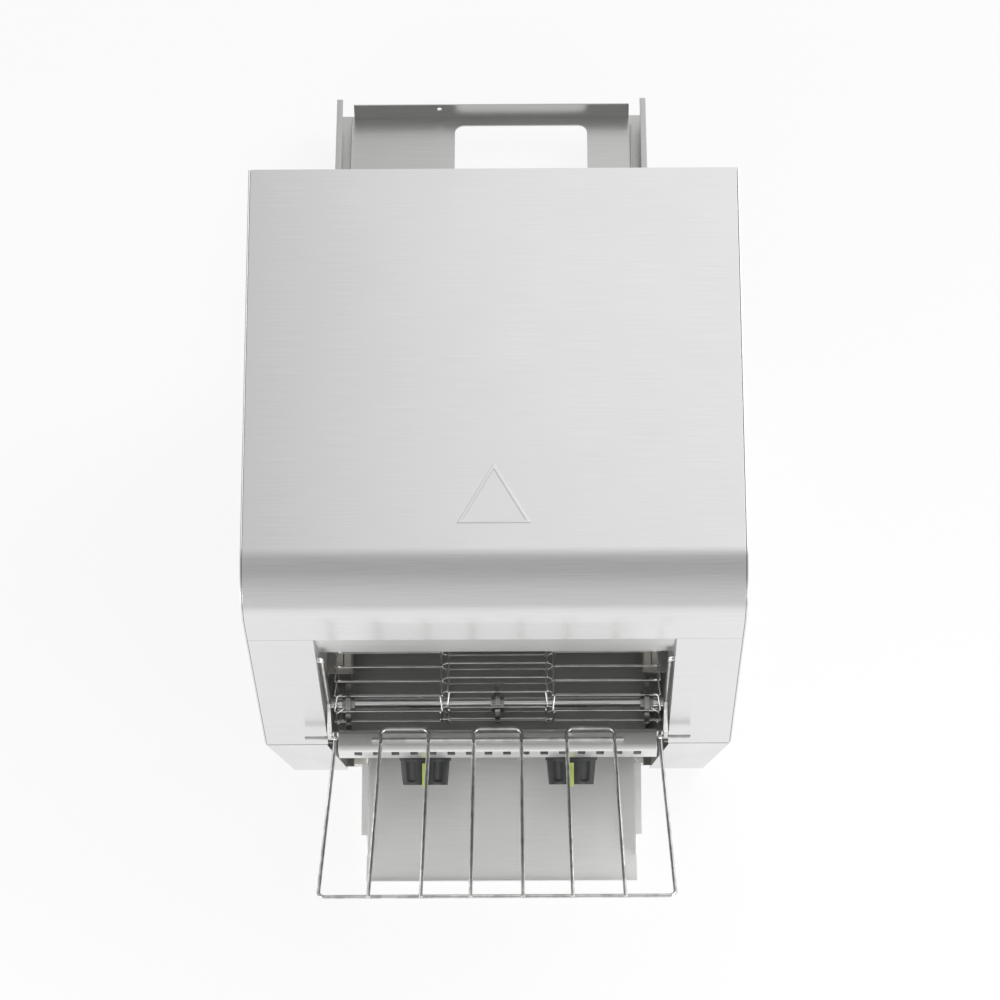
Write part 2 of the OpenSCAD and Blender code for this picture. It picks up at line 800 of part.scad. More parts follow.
module toast_chute() {
    slope = (ramp_rear_z - ramp_front_z) / (body_d - 14 - ramp_front_y);
    rear_y = body_d - 14;
    color("#9fa1a3") machine() {
        slab_x([[ramp_front_y, ramp_front_z], [rear_y, ramp_rear_z], [rear_y, ramp_rear_z - sheet],
            [ramp_front_y, ramp_front_z - sheet]], 0, ramp_w);
        // Side walls up to the floor plate
        both_sides() {
            slab_x([[ramp_front_y + 24, ramp_front_z + 24 * slope - sheet], [rear_y, ramp_rear_z - sheet],
                [rear_y, leg_top_z], [ramp_front_y + 24, leg_top_z]], ramp_w / 2 - sheet / 2, sheet);
            translate([ramp_w / 2 - sheet, ramp_front_y + 24, leg_top_z - sheet])
                cube([leg_in - 1 - ramp_w / 2 + sheet, rear_y - ramp_front_y - 24, sheet]);
        }
    }
}

module exit_ramp() {
    start = drive_y + belt_r + belt_wire + hook_rise + 1.5;
    drop = tan(chute_slope);
    z = chute_z + sheet / 2 / cos(chute_slope);
    past = 4;
    color("#b2b4b5") machine()
        folded_sheet([[start, z + (body_d - start) * drop - flange], [start, z + (body_d - start) * drop],
            [body_d + past, z - past * drop]], 0, exit_w - 4);
}

// --- Belt ---

// Place of rod i round the loop, as [y, z] from the idler shaft's axis.
function loop_point(i, span, teeth, pitch, r) =
    i < span ? [i * pitch, r] :
    i < span + teeth / 2 ? [span * pitch, 0] + r * [sin((i - span) * 360 / teeth), cos((i - span) * 360 / teeth)] :
    i < 2 * span + teeth / 2 ? [(2 * span + teeth / 2 - i) * pitch, -r] :
    -r * [sin((i - 2 * span - teeth / 2) * 360 / teeth), cos((i - 2 * span - teeth / 2) * 360 / teeth)];

// A point of a rod: x across the belt, s along it towards the next rod, n out of the belt.
function rod_point(i, x, s, n) =
    let (a = loop_point(i, belt_span, belt_teeth, rod_pitch, belt_r))
    let (b = loop_point((i + 1) % belt_rods, belt_span, belt_teeth, rod_pitch, belt_r))
    let (e = unit(b - a), p = a + s * e + n * [-e[1], e[0]])
    [x, idler_y + p[0], shaft_z + p[1]];

// One rod: straight sections, hooked over the next rod at both edges and at both joint rows.
function rod_path(i) =
    let (over = rod_pitch, past = rod_pitch + hook_past, low = -hook_rise)
    concat(
        [rod_point(i, -belt_edge + 7, past, low), rod_point(i, -belt_edge + 2, over, hook_rise),
            rod_point(i, -belt_edge, 0, 0)],
        joint_points(i, -joint_x, 0, mid_shift),
        joint_points(i, joint_x, mid_shift, 0),
        [rod_point(i, belt_edge, 0, 0), rod_point(i, belt_edge - 2, over, hook_rise),
            rod_point(i, belt_edge - 7, past, low)]);

function joint_points(i, x, shift_a, shift_b) =
    let (w = hook_half + hook_spread, over = rod_pitch, past = rod_pitch + hook_past)
    [rod_point(i, x - hook_half, shift_a, 0), rod_point(i, x - w, over + shift_a, hook_rise),
        rod_point(i, x - w, past + shift_a, -hook_rise), rod_point(i, x + w, past + shift_b, -hook_rise),
        rod_point(i, x + w, over + shift_b, hook_rise), rod_point(i, x + hook_half, shift_b, 0)];

// The belt's rods are separate closed tubes of one polyhedron.
module conveyor_belt() {
    rings = len(rod_path(0));
    points = [for (i = [0:belt_rods - 1])
        let (out = unit(rod_point(i, 0, 0, 1) - rod_point(i, 0, 0, 0)))
            each tube_points(rod_path(i), belt_wire, wire_sides, out)];
    faces = [for (i = [0:belt_rods - 1]) each tube_faces(rings, wire_sides, i * rings * wire_sides)];
    color("#b9bbbc") machine() polyhedron(points, faces);
}

// Toothed disc whose pockets hold bars on a circle of radius r. Drawn round the Z axis.
module toothed_disc(teeth, r, bar_d, tooth, thick, turn) {
    difference() {
        cylinder(r = r + tooth, h = thick, center = true);
        for (k = [0:teeth - 1]) rotate([0, 0, turn + k * 360 / teeth]) {
            translate([r, 0, 0]) cylinder(d = bar_d, h = 2 * thick, center = true, $fn = 24);
            for (lean = [-flank_lean, 0, flank_lean]) translate([r, 0, 0]) rotate([0, 0, lean])
                translate([tooth, 0, 0]) cube([2 * tooth, bar_d, 2 * thick], center = true);
        }
    }
}

// Belt sprocket on a shaft along X. The middle one is turned to meet the shifted rods.
module belt_sprocket(x, y, shifted) {
    half = rod_pitch * (0.5 - mid_shift / rod_pitch);
    chord = belt_r * cos(180 / belt_teeth);
    r = shifted ? norm([half, chord]) : belt_r;
    turn = shifted ? atan(half / chord) - 180 / belt_teeth : 0;
    translate([x, y, shaft_z]) rotate([0, 90, 0]) difference() {
        union() {
            toothed_disc(belt_teeth, r, belt_wire + 2 * tooth_gap, 2, sprocket_t, turn);
            cylinder(d = shaft_d + 8, h = sprocket_t + 6, center = true);
        }
        cylinder(d = shaft_d, h = 4 * sprocket_t, center = true);
        // Lightening holes
        for (k = [0:3]) rotate([0, 0, turn + 22.5 + k * 90]) translate([(r + shaft_d / 2) / 2 + 1.3, 0, 0])
            cylinder(d = 2.4, h = 4 * sprocket_t, center = true, $fn = 24);
    }
}

module belt_sprockets(y) {
    for (s = [-1, 1]) belt_sprocket(s * sprocket_x, y, false);
    belt_sprocket(0, y, true);
}

module idler_sprockets() {
    color("#a8aaab") machine() belt_sprockets(idler_y);
}

module drive_sprockets() {
    color("#a8aaab") machine() belt_sprockets(drive_y);
}

module idler_shaft() {
    color("#c3c5c6") machine() bar_x(0, idler_y, shaft_z, shaft_d, 2 * (bay_x + bush_len));
}

module drive_shaft() {
    reach = chain_x + 7;
    left = bay_x + bush_len;
    color("#c3c5c6") machine() bar_x((reach - left) / 2, drive_y, shaft_z, shaft_d, reach + left);
}

// --- Drive ---

module chain_sprocket(y, bore) {
    translate([chain_x, y, shaft_z]) rotate([0, 90, 0]) difference() {
        union() {
            toothed_disc(chain_teeth, chain_r, chain_roller_d + 2 * tooth_gap, 1.6, chain_inner_w - 0.8, 0);
            translate([0, 0, 3]) cylinder(d = bore + 7, h = 5, center = true);
        }
        cylinder(d = bore, h = 20, center = true);
    }
}

module chain_wheel() {
    color("#77797b") machine() chain_sprocket(drive_y, shaft_d);
}

module motor_sprocket() {
    color("#77797b") machine() chain_sprocket(motor_y, motor_shaft_d);
}

module drive_chain() {
    inner_x = (chain_inner_w + chain_plate_t) / 2;
    outer_x = inner_x + chain_plate_t - chain_sink;
    pin_len = 2 * outer_x + chain_plate_t + 0.6;
    color("#6b6d6f") machine() translate([chain_x, motor_y, shaft_z]) for (i = [0:chain_links - 1]) {
        a = loop_point(i, chain_span, chain_teeth, chain_pitch, chain_r);
        b = loop_point((i + 1) % chain_links, chain_span, chain_teeth, chain_pitch, chain_r);
        inner = i % 2 == 0;
        bar_x(0, a[0], a[1], chain_roller_d, chain_inner_w + 2 * chain_sink);
        bar_x(0, a[0], a[1], 2, pin_len);
        for (s = [-1, 1]) translate([s * (inner ? inner_x : outer_x), 0, 0])
            link_plate(a, b, inner ? chain_plate_h : chain_plate_h - 0.5);
    }
}

// Flat link plate between two pins, square to X.
module link_plate(a, b, tall) {
    angle = atan2(b[1] - a[1], b[0] - a[0]);
    waist = tall - 1.2;
    translate([0, a[0], a[1]]) rotate([angle, 0, 0]) {
        translate([-chain_plate_t / 2, 0, -waist / 2]) cube([chain_plate_t, norm(b - a), waist]);
        for (y = [0, norm(b - a)]) bar_x(0, y, 0, tall, chain_plate_t);
    }
}

module motor_shaft() {
    color("#c3c5c6") machine() bar_x(chain_x + 5, motor_y, shaft_z, motor_shaft_d, 17);
}

module gear_motor() {
    gearbox_w = 56;
    stack = 44;
    color("#8a8c8e") machine() difference() {
        translate([motor_face_x, motor_y, shaft_z]) {
            translate([0, -14 - gearbox_w / 2, -19]) cube([motor_t, gearbox_w, 56]);
            translate([2, -14 - gearbox_w / 2 - stack, -8]) cube([motor_t - 4, stack, 34]);
            translate([motor_t / 2, -14 - gearbox_w / 2 - stack - 4, 9])
                rotate([-90, 0, 0]) cylinder(d = 18, h = 5);
        }
        bar_x(motor_face_x, motor_y, shaft_z, motor_shaft_d + 2 * run_gap, 12);
    }
}

module motor_bracket() {
    // Standing plate between the floor plate and the gear motor, with a foot on the floor plate
    x = motor_face_x - sheet;
    color("#9b9d9f") machine() difference() {
        translate([x, motor_y + bracket_rear - bracket_w, floor_z]) {
            cube([sheet, bracket_w, bracket_h]);
            cube([flange + 10, bracket_w, sheet]);
        }
        bar_x(x, motor_y, shaft_z, motor_shaft_d + 9, 6 * sheet);
    }
}

// --- Heaters ---

module each_heater() {
    for (y = heaters, z = [lower_heat_z, upper_heat_z]) translate([0, y, z]) children();
}

module quartz_tubes() {
    color("#d8d4cc", 0.6) machine() each_heater() rotate([0, 90, 0]) difference() {
        cylinder(d = tube_d, h = tube_len, center = true);
        cylinder(d = tube_d - 2 * tube_wall, h = tube_len + 2, center = true);
    }
}

module heating_coils() {
    color("#6a5f57") machine() each_heater() rotate([0, 90, 0]) {
        cylinder(d = coil_d, h = tube_len - 8, center = true);
        cylinder(d = coil_end_d, h = tube_len + 2, center = true, $fn = 24);
    }
}

module ceramic_caps() {
    color("#e4e0d6") machine() each_heater() both_sides() translate([mouth_w / 2 - cap_len, 0, 0])
        rotate([0, 90, 0]) difference() {
            cylinder(d = cap_d, h = cap_len);
            translate([0, 0, -1]) cylinder(d = tube_d, h = tube_seat + 1);
            translate([0, 0, -1]) cylinder(d = coil_end_d, h = tube_seat + 3, $fn = 24);
        }
}

// --- Controls ---

module knob() {
    body_len = knob_len - knob_rim_t;
    rotate([90, 0, 0]) difference() {
        union() {
            cylinder(d = knob_rim_d, h = knob_rim_t, $fn = 96);
            translate([0, 0, knob_rim_t]) cylinder(d1 = knob_body_d, d2 = knob_tip_d, h = body_len, $fn = 96);
        }
        for (k = [0:knob_flutes - 1]) rotate([0, 0, (k + 0.5) * 360 / knob_flutes]) flute();
        // Hole for the spindle
        translate([0, 0, -1]) cylinder(d = spindle_d, h = spindle_in + 1);
        // Seat for the pointer
        pointer_form();
    }
}

// A finger groove along the knob, which runs out before its front.
module flute() {
    start = knob_rim_t + 1.5;
    len = knob_len - start - 1.4;
    run_out = 2;
    lean = atan((knob_body_d - knob_tip_d) / 2 / (knob_len - knob_rim_t));
    translate([0, knob_body_d / 2 + flute_r - flute_depth, start]) rotate([lean, 0, 0]) {
        cylinder(r = flute_r, h = len - run_out, $fn = 64);
        translate([0, 0, len - run_out]) cylinder(r1 = flute_r, r2 = flute_r - run_out, h = run_out, $fn = 64);
    }
}

// The pointer's bar, along the top of the knob and over its front.
module pointer_form() {
    deep = 1.6;
    front = 2.6;
    translate([-pointer_w / 2, knob_tip_d / 2 - deep, knob_rim_t + 2]) cube([pointer_w, 2 * deep + 2, knob_len]);
    translate([-pointer_w / 2, 4, knob_len - deep]) cube([pointer_w, knob_tip_d / 2, deep + front]);
}

module pointer() {
    lift = 0.7;
    front = 1.8;
    rotate([90, 0, 0]) intersection() {
        pointer_form();
        cylinder(d1 = knob_body_d + 2 * lift, d2 = knob_tip_d + 2 * lift, h = knob_len + front, $fn = 96);
    }
}

// The knob's frame on the panel: its origin lies seat_gap in front of the panel, +Y runs into the housing.
module at_knob(side) {
    machine() translate([side * knob_gap / 2, panel_mid_y(knob_z), knob_z]) rotate([panel_lean, 0, 0])
        translate([0, -sheet / 2 - seat_gap, 0]) children();
}

module spindle() {
    rotate([-90, 0, 0]) translate([0, 0, -spindle_in]) cylinder(d = spindle_d, h = 2 * spindle_in + sheet);
}

module switch_body() {
    translate([-switch_w / 2, sheet + seat_gap, -switch_w / 2]) difference() {
        cube([switch_w, switch_len, switch_w]);
        bar_y(switch_w / 2, -1, switch_w / 2, spindle_d + 2 * run_gap, spindle_in + 2);
    }
}

module selector_knob() { color("#2e2f30") at_knob(-1) knob(); }
module selector_pointer() { color("#b4cc5c") at_knob(-1) pointer(); }
module selector_spindle() { color("#b9bbbc") at_knob(-1) spindle(); }
module selector_switch() { color("#33343a") at_knob(-1) switch_body(); }
module speed_knob() { color("#2e2f30") at_knob(1) knob(); }
module speed_pointer() { color("#b4cc5c") at_knob(1) pointer(); }
module speed_spindle() { color("#b9bbbc") at_knob(1) spindle(); }
module speed_control() { color("#3a3f52") at_knob(1) switch_body(); }

module terminal_block() {
    x = -(bay_x + 6);
    ways = 6;
    color("#d6d3c6") machine() translate([x - terminal_w, terminal_y, floor_z + sheet]) difference() {
        cube([terminal_w, terminal_pitch * ways, terminal_h]);
        for (i = [0:ways - 1]) translate([terminal_w / 2, (i + 0.5) * terminal_pitch, terminal_h / 2])
            cylinder(d = 5, h = terminal_h);
    }
}

module overheat_thermostat() {
    y = 110;
    z = 150;
    disc_t = 10;
    rim_t = 2;
    color("#c9c2b4") machine() {
        bar_x(-(bay_x + disc_t / 2), y, z, 16, disc_t);
        bar_x(-(bay_x + rim_t / 2), y, z, 24, rim_t);
    }
}

module fan_frame() {
    color("#2b2c2e") machine() translate([fan_x, fan_y, fan_z]) rotate([0, -90, 0]) difference() {
        union() {
            difference() {
                translate([-fan_frame_w / 2, -fan_frame_w / 2, 0])
                    cube([fan_frame_w, fan_frame_w, fan_frame_t]);
                translate([0, 0, -1]) cylinder(d = fan_d + 3, h = fan_frame_t + 2, $fn = 96);
            }
            // Spokes and motor cup
            for (a = [45, 135]) rotate([0, 0, a])
                translate([-fan_d / 2 - 3, -2, 0]) cube([fan_d + 6, 4, 2]);
            cylinder(d = fan_hub_d, h = 2);
            cylinder(d = 8, h = 8);
            // Stand-offs on the chassis plate
            at_fan_corners() translate([0, 0, -fan_standoff]) cylinder(d = 8, h = fan_standoff + 1);
        }
        at_fan_corners() translate([0, 0, -fan_standoff - 1])
            cylinder(d = 4, h = fan_standoff + fan_frame_t + 2, $fn = 24);
    }
}

module at_fan_corners() {
    reach = fan_frame_w / 2 - 4.5;
    for (x = [-1, 1], y = [-1, 1]) translate([x * reach, y * reach, 0]) children();
}

module fan_rotor() {
    blade_t = 1.6;
    color("#3a3b3d") machine() translate([fan_x, fan_y, fan_z]) rotate([0, -90, 0]) difference() {
        union() {
            translate([0, 0, 3]) cylinder(d = fan_hub_d, h = fan_frame_t - 5);
            for (k = [0:fan_blades - 1]) rotate([0, 0, k * 360 / fan_blades])
                translate([12, 0, fan_frame_t / 2 + 0.5]) rotate([40, 0, 0])
                    translate([0, -9, -blade_t / 2]) cube([fan_d / 2 - 13, 18, blade_t]);
        }
        translate([0, 0, 2]) cylinder(d = 8 + 2 * run_gap, h = 7);
    }
}

// --- Wire work ---

// A point in the rack's plane: x across, s ahead of the pivots, n above the plane.
function rack_point(x, s, n = 0) =
    [x, pivot_y - s * cos(rack_slope) - n * sin(rack_slope), pivot_z + s * sin(rack_slope) + n * cos(rack_slope)];

// One hairpin, level over the landing plate and sloping up to the front bar.
function hairpin_path(x) =
    let (w = hairpin_w / 2, front = function (fx) rack_point(fx * rack_spread, rack_len, rack_wire - weld))
    [front(x - w), [x - w, tail_y - hairpin_tail, tail_z], [x - w, tail_y, tail_z],
        [x + w, tail_y, tail_z], [x + w, tail_y - hairpin_tail, tail_z], front(x + w)];

module feed_rack() {
    rod_x = hairpin_gap + hairpin_w / 2 + 7;
    rod_z = landing_z + seat_gap + rack_wire / 2;
    rod_y = tail_y - 8;
    color("#aeb0b2") machine() {
        // Outer frame
        wire([rack_point(-rack_x, eye_d / 2 - 0.8), rack_point(-rack_x * rack_spread, rack_len),
            rack_point(rack_x * rack_spread, rack_len), rack_point(rack_x, eye_d / 2 - 0.8)],
            rack_wire, rack_bend_r);
        // Eyes round the pegs
        both_sides() difference() {
            bar_x(rack_x, pivot_y, pivot_z, eye_d, rack_wire);
            bar_x(rack_x, pivot_y, pivot_z, eye_bore, 2 * rack_wire);
        }
        for (k = [-1:1]) wire(hairpin_path(k * hairpin_gap), rack_wire, rack_bend_r);
        // Cross rod under the hairpins, which rests on the landing plate
        wire([[-rod_x, rod_y, rod_z], [rod_x, rod_y, rod_z]], rack_wire, rack_bend_r);
    }
}

module rack_hanger() {
    x = mouth_w / 2 - rack_wire;
    peg_in = rack_x - rack_wire / 2 - seat_gap;
    color("#b6b8ba") machine() {
        wire([[mouth_w / 2 + 5, hanger_y, hanger_top_z], [x, hanger_y, hanger_top_z],
            [x, hanger_y + 4, hanger_knee_z], [x, pivot_y + 0.4, pivot_z + 0.6]], hanger_wire, rack_bend_r);
        // Peg through the rack's eye, in front of the front plate
        bar_x((peg_in + mouth_w / 2 + peg_len) / 2, pivot_y, pivot_z, rack_wire, mouth_w / 2 + peg_len - peg_in);
    }
}

module left_rack_hanger() { mirror([1, 0, 0]) rack_hanger(); }
module right_rack_hanger() { rack_hanger(); }

// --- Trays ---

module front_tray() {
    floor_w = tray_w - 2 * tray_hem;
    cut = 12;
    color("#c2c4c5") machine() translate([tray_shift, 0, 0]) {
        folded_sheet([[tray_in, tray_z + tray_inner_wall_h], [tray_in, tray_z + sheet / 2],
            [-tray_reach + sheet, tray_z + sheet / 2], [-tray_reach + sheet, tray_z + 4]], 0, floor_w);
        both_sides() {
            slab_x([[tray_in, tray_z], [tray_in, tray_z + tray_inner_wall_h],
                [2, tray_z + tray_inner_wall_h], [-2, tray_z + tray_wall_h],
                [-tray_wall_reach + cut, tray_z + tray_wall_h], [-tray_wall_reach, tray_z + 4],
                [-tray_wall_reach, tray_z]], floor_w / 2 - sheet / 2, sheet);
            translate([floor_w / 2 - sheet, -tray_wall_reach + cut, tray_z + tray_wall_h - sheet])
                cube([tray_hem + sheet, tray_wall_reach - cut - 2, sheet]);
        }
    }
}

module tray_slides() {
    color("#e8e6df") machine() both_sides()
        translate([leg_in - leg_lean_in - leg_lip, 2 * sheet, foot_h + sheet])
            cube([slide_w, body_d - 4 * sheet, slide_h]);
}

// Children in the rear rails' frame: +Y runs down the slope from the back panel, Z = 0 is the rails' floor.
module on_slope() {
    translate([0, body_d, chute_z]) rotate([-chute_slope, 0, 0]) children();
}

module rear_rail() {
    out = rail_gap / 2;
    seat = 20;
    difference() {
        on_slope() {
            translate([out - sheet, -20, -sheet]) cube([sheet, chute_len + 20, rail_h + sheet]);
            translate([out - seat, -20, -sheet]) cube([seat, chute_len + 20, sheet]);
            translate([out - rail_flange, -20, rail_h - sheet]) cube([rail_flange, chute_len + 20, sheet]);
        }
        translate([0, body_d - 60, 0]) cube([body_w, 60, body_h]);
    }
    // Ear screwed to the back panel
    translate([out - sheet, body_d, chute_z - 6]) cube([flange + sheet, sheet, rail_h + 10]);
}

// Moves children with the rear rails, which sit a little to the left of the exit.
module at_rails() {
    machine() translate([-rear_shift, 0, 0]) children();
}

module left_rear_rail() { color("#8b8d8f") at_rails() mirror([1, 0, 0]) rear_rail(); }
module right_rear_rail() { color("#8b8d8f") at_rails() rear_rail(); }

module rear_tray() {
    start = 8;
    end = chute_len - 3;
    lip_cut = 2;
    color("#a7a9ab") at_rails() on_slope() difference() {
        union() {
            translate([-rear_tray_w / 2, start, seat_gap]) cube([rear_tray_w, end - start, sheet]);
            both_sides() translate([rear_tray_w / 2 - sheet, start, seat_gap])
                cube([sheet, end - start - 14, rear_side_h]);
            // Back lip
            translate([-rear_tray_w / 2 + lip_cut, end - sheet, seat_gap])
                cube([rear_tray_w - 2 * lip_cut, sheet, rear_lip_h]);
        }
        // Window with round rear corners
        translate([window_x - window_w / 2, end - window_edge - window_len, -sheet])
            cube([window_w, window_len - window_r, 4 * sheet]);
        translate([window_x, end - window_edge - window_r, 0])
            slot_cut(window_w, 2 * window_r, 6 * sheet);
        // Hole in the lip
        translate([-44, end, rear_lip_h - 5]) rotate([90, 0, 0]) cylinder(d = 4, h = 20, center = true, $fn = 24);
    }
}

// --- Fasteners ---

module screw() {
    cylinder(d = screw_head_d, h = screw_head_h, $fn = 24);
    translate([0, 0, -screw_len]) cylinder(d = screw_d, h = screw_len + 0.5, $fn = 24);
}

module casing_screws() {
    color("#9ea0a2") machine() {
        // Back panel
        both_sides() for (z = back_screw_z) translate([back_screw_x, body_d, z]) rotate([-90, 0, 0]) screw();
        // Side panels into the floor plate's flanges
        both_sides() for (y = side_screw_y) translate([body_w / 2, y, side_screw_z]) rotate([0, 90, 0]) screw();
    }
}

top_cover();
left_side_panel();
right_side_panel();
left_front_plate();
right_front_plate();
forehead_panel();
back_panel();
floor_plate();
left_base_leg();
right_base_leg();
rubber_feet();
left_chassis_plate();
right_chassis_plate();
upper_reflector();
landing_plate();
control_panel();
toast_chute();
exit_ramp();
shaft_bushes();
belt_guide_rails();
belt_guide_blocks();
conveyor_belt();
idler_shaft();
idler_sprockets();
drive_shaft();
drive_sprockets();
chain_wheel();
drive_chain();
motor_sprocket();
motor_shaft();
gear_motor();
motor_bracket();
quartz_tubes();
heating_coils();
ceramic_caps();
selector_knob();
selector_pointer();
selector_spindle();
selector_switch();
speed_knob();
speed_pointer();
speed_spindle();
speed_control();
terminal_block();
overheat_thermostat();
fan_frame();
fan_rotor();
cable_gland();
left_rack_hanger();
right_rack_hanger();
feed_rack();
front_tray();
tray_slides();
left_rear_rail();
right_rear_rail();
rear_tray();
casing_screws();
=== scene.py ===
"""Looks of a countertop conveyor toaster: finishes, fine wire work, studio and camera.

Sheet metal nodes get a skin with broken edges, wires are swept round, and every surface gets a procedural finish
that reads Object coordinates in metres.
"""

import json
import logging
import math
from collections.abc import Iterable, Sequence
from dataclasses import dataclass, field
from enum import Enum
from typing import Any

import bmesh
import bpy
from mathutils import Matrix, Vector

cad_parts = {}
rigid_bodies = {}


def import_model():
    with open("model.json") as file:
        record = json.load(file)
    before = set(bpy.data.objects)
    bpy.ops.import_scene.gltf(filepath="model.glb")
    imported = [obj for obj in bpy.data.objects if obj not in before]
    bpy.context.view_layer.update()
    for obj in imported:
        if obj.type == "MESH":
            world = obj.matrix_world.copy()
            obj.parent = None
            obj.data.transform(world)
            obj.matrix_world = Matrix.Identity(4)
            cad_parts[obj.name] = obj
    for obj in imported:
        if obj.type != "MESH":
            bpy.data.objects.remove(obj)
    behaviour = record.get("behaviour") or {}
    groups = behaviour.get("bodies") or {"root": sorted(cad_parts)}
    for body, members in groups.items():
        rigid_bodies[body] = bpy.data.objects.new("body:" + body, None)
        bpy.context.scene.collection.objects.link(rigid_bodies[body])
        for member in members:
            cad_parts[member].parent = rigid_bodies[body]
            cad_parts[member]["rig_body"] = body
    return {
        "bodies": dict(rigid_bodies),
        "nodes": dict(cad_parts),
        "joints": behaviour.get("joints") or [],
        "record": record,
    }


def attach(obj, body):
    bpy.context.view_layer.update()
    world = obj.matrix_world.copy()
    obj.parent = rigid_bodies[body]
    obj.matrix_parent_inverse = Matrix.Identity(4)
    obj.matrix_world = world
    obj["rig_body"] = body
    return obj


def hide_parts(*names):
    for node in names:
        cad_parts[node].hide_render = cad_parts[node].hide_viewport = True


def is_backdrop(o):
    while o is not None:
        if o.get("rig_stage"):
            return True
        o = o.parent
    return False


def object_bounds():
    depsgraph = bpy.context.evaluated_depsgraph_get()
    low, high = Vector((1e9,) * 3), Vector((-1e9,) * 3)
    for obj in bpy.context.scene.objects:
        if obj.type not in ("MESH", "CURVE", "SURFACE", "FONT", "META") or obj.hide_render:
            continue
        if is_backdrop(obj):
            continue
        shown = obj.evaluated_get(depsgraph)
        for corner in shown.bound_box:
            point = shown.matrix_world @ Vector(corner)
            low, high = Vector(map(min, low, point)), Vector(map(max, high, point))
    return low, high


LOG = logging.getLogger("toaster")
MM = 0.001
FRONT_Y = -209.859  # the front plates' face in the row frame, in millimetres
INSIDE = 0.99  # share of a wire's radius, so that its facets stay inside the solid
OPAQUE_WHITE = (1.0, 1.0, 1.0, 1.0)
SMOOTH = {"interpolation_type": "SMOOTHSTEP"}
SAME_POINT = 1e-6  # metres between two vertices that are merged
NO_BEND = 0.02  # radians of turn that stay a corner
LEG_SHARE = 0.45  # how much of a straight a bend may take
Point = tuple[float, float, float]


def linear(code: str) -> tuple[float, float, float, float]:
    """Turns an sRGB hex colour, such as "#C8C8C6", into linear RGBA with an alpha of 1."""
    parts = [int(code[i : i + 2], 16) / 255 for i in (1, 3, 5)]
    red, green, blue = (p / 12.92 if p <= 0.04045 else ((p + 0.055) / 1.055) ** 2.4 for p in parts)
    return red, green, blue, 1.0


def add_node(
    tree: bpy.types.NodeTree,
    kind: str,
    settings: dict[str, Any] | None = None,
    inputs: dict[str | int, Any] | None = None,
) -> bpy.types.Node:
    """Adds a shader node with its settings and links.

    Args:
        tree: the node tree that gets it.
        kind: the node's type name.
        settings: attributes of the node.
        inputs: input name or number to a plain value, or to an output socket that is linked to it.

    Returns:
        The new node.
    """
    node = tree.nodes.new(kind)
    for name, value in (settings or {}).items():
        setattr(node, name, value)
    for name, value in (inputs or {}).items():
        if isinstance(value, bpy.types.NodeSocket):
            tree.links.new(value, node.inputs[name])
        else:
            node.inputs[name].default_value = value
    return node


def empty_tree(owner: bpy.types.Material | bpy.types.World) -> bpy.types.NodeTree:
    """The emptied node tree of a material or a world."""
    owner.use_nodes = True
    owner.node_tree.nodes.clear()
    return owner.node_tree


def mesh_data(name: str, mesh: bmesh.types.BMesh) -> bpy.types.Mesh:
    """Turns a mesh under work into mesh data, and frees it."""
    data = bpy.data.meshes.new(name)
    mesh.to_mesh(data)
    mesh.free()
    return data


def new_object(name: str, data: bpy.types.ID) -> bpy.types.Object:
    """Makes an object of some data and puts it into the scene."""
    made = bpy.data.objects.new(name, data)
    bpy.context.scene.collection.objects.link(made)
    return made


def span(value: bpy.types.NodeSocket, start: float, end: float, low: float, high: float) -> dict[str, Any]:
    """Inputs of a Map Range node that turns start to end into low to high."""
    return {"Value": value, "From Min": start, "From Max": end, "To Min": low, "To Max": high}


class Grain(Enum):
    """Direction in which a sheet was brushed or a bar was drawn."""

    ACROSS = 0
    DEEP = 1

    def lines(self, width_mm: float, stretch: float) -> Point:
        """Size along X, Y and Z of a line that runs with the grain, stretch times longer than wide."""
        return tuple(width_mm * (stretch if axis == self.value else 1.0) for axis in range(3))

    def tangent(self) -> Point:
        """Unit vector along the lines."""
        return tuple(float(axis == self.value) for axis in range(3))


@dataclass(frozen=True)
class Noise:
    """Noise of a real size.

    Attributes:
        size_mm: how far apart its spots are, in all directions or along X, Y and Z.
        detail: octaves of finer noise.
    """

    LOW = 0.3
    HIGH = 0.7

    size_mm: float | Point
    detail: float = 2.0

    def factor(self, tree: bpy.types.NodeTree, place: bpy.types.NodeSocket) -> bpy.types.NodeSocket:
        """Adds the noise to a material's tree; its factor runs from about LOW to HIGH."""
        sizes = self.size_mm if isinstance(self.size_mm, tuple) else (self.size_mm,) * 3
        scale = tuple(1 / (size * MM) for size in sizes)
        mapped = add_node(tree, "ShaderNodeMapping", inputs={"Vector": place, "Scale": scale})
        inputs = {"Vector": mapped.outputs[0], "Scale": 1.0, "Detail": self.detail}
        return add_node(tree, "ShaderNodeTexNoise", inputs=inputs).outputs["Fac"]


@dataclass(frozen=True)
class Look:
    """What a finish puts into its shader.

    Attributes:
        tint: noise that the colour follows.
        stops: places on that noise with their sRGB hex colours.
        sheen: noises that the roughness follows, with its values at their low and high; they add up.
        relief: noise that gives the relief.
        depth_mm: depth of the relief.
        strength: share of the relief that shows.
        plain: constants of the shader's own sockets.
    """

    tint: Noise
    stops: tuple[tuple[float, str], ...]
    sheen: tuple[tuple[Noise, float, float], ...]
    relief: Noise
    depth_mm: float
    strength: float = 0.3
    plain: dict[str, Any] = field(default_factory=dict)


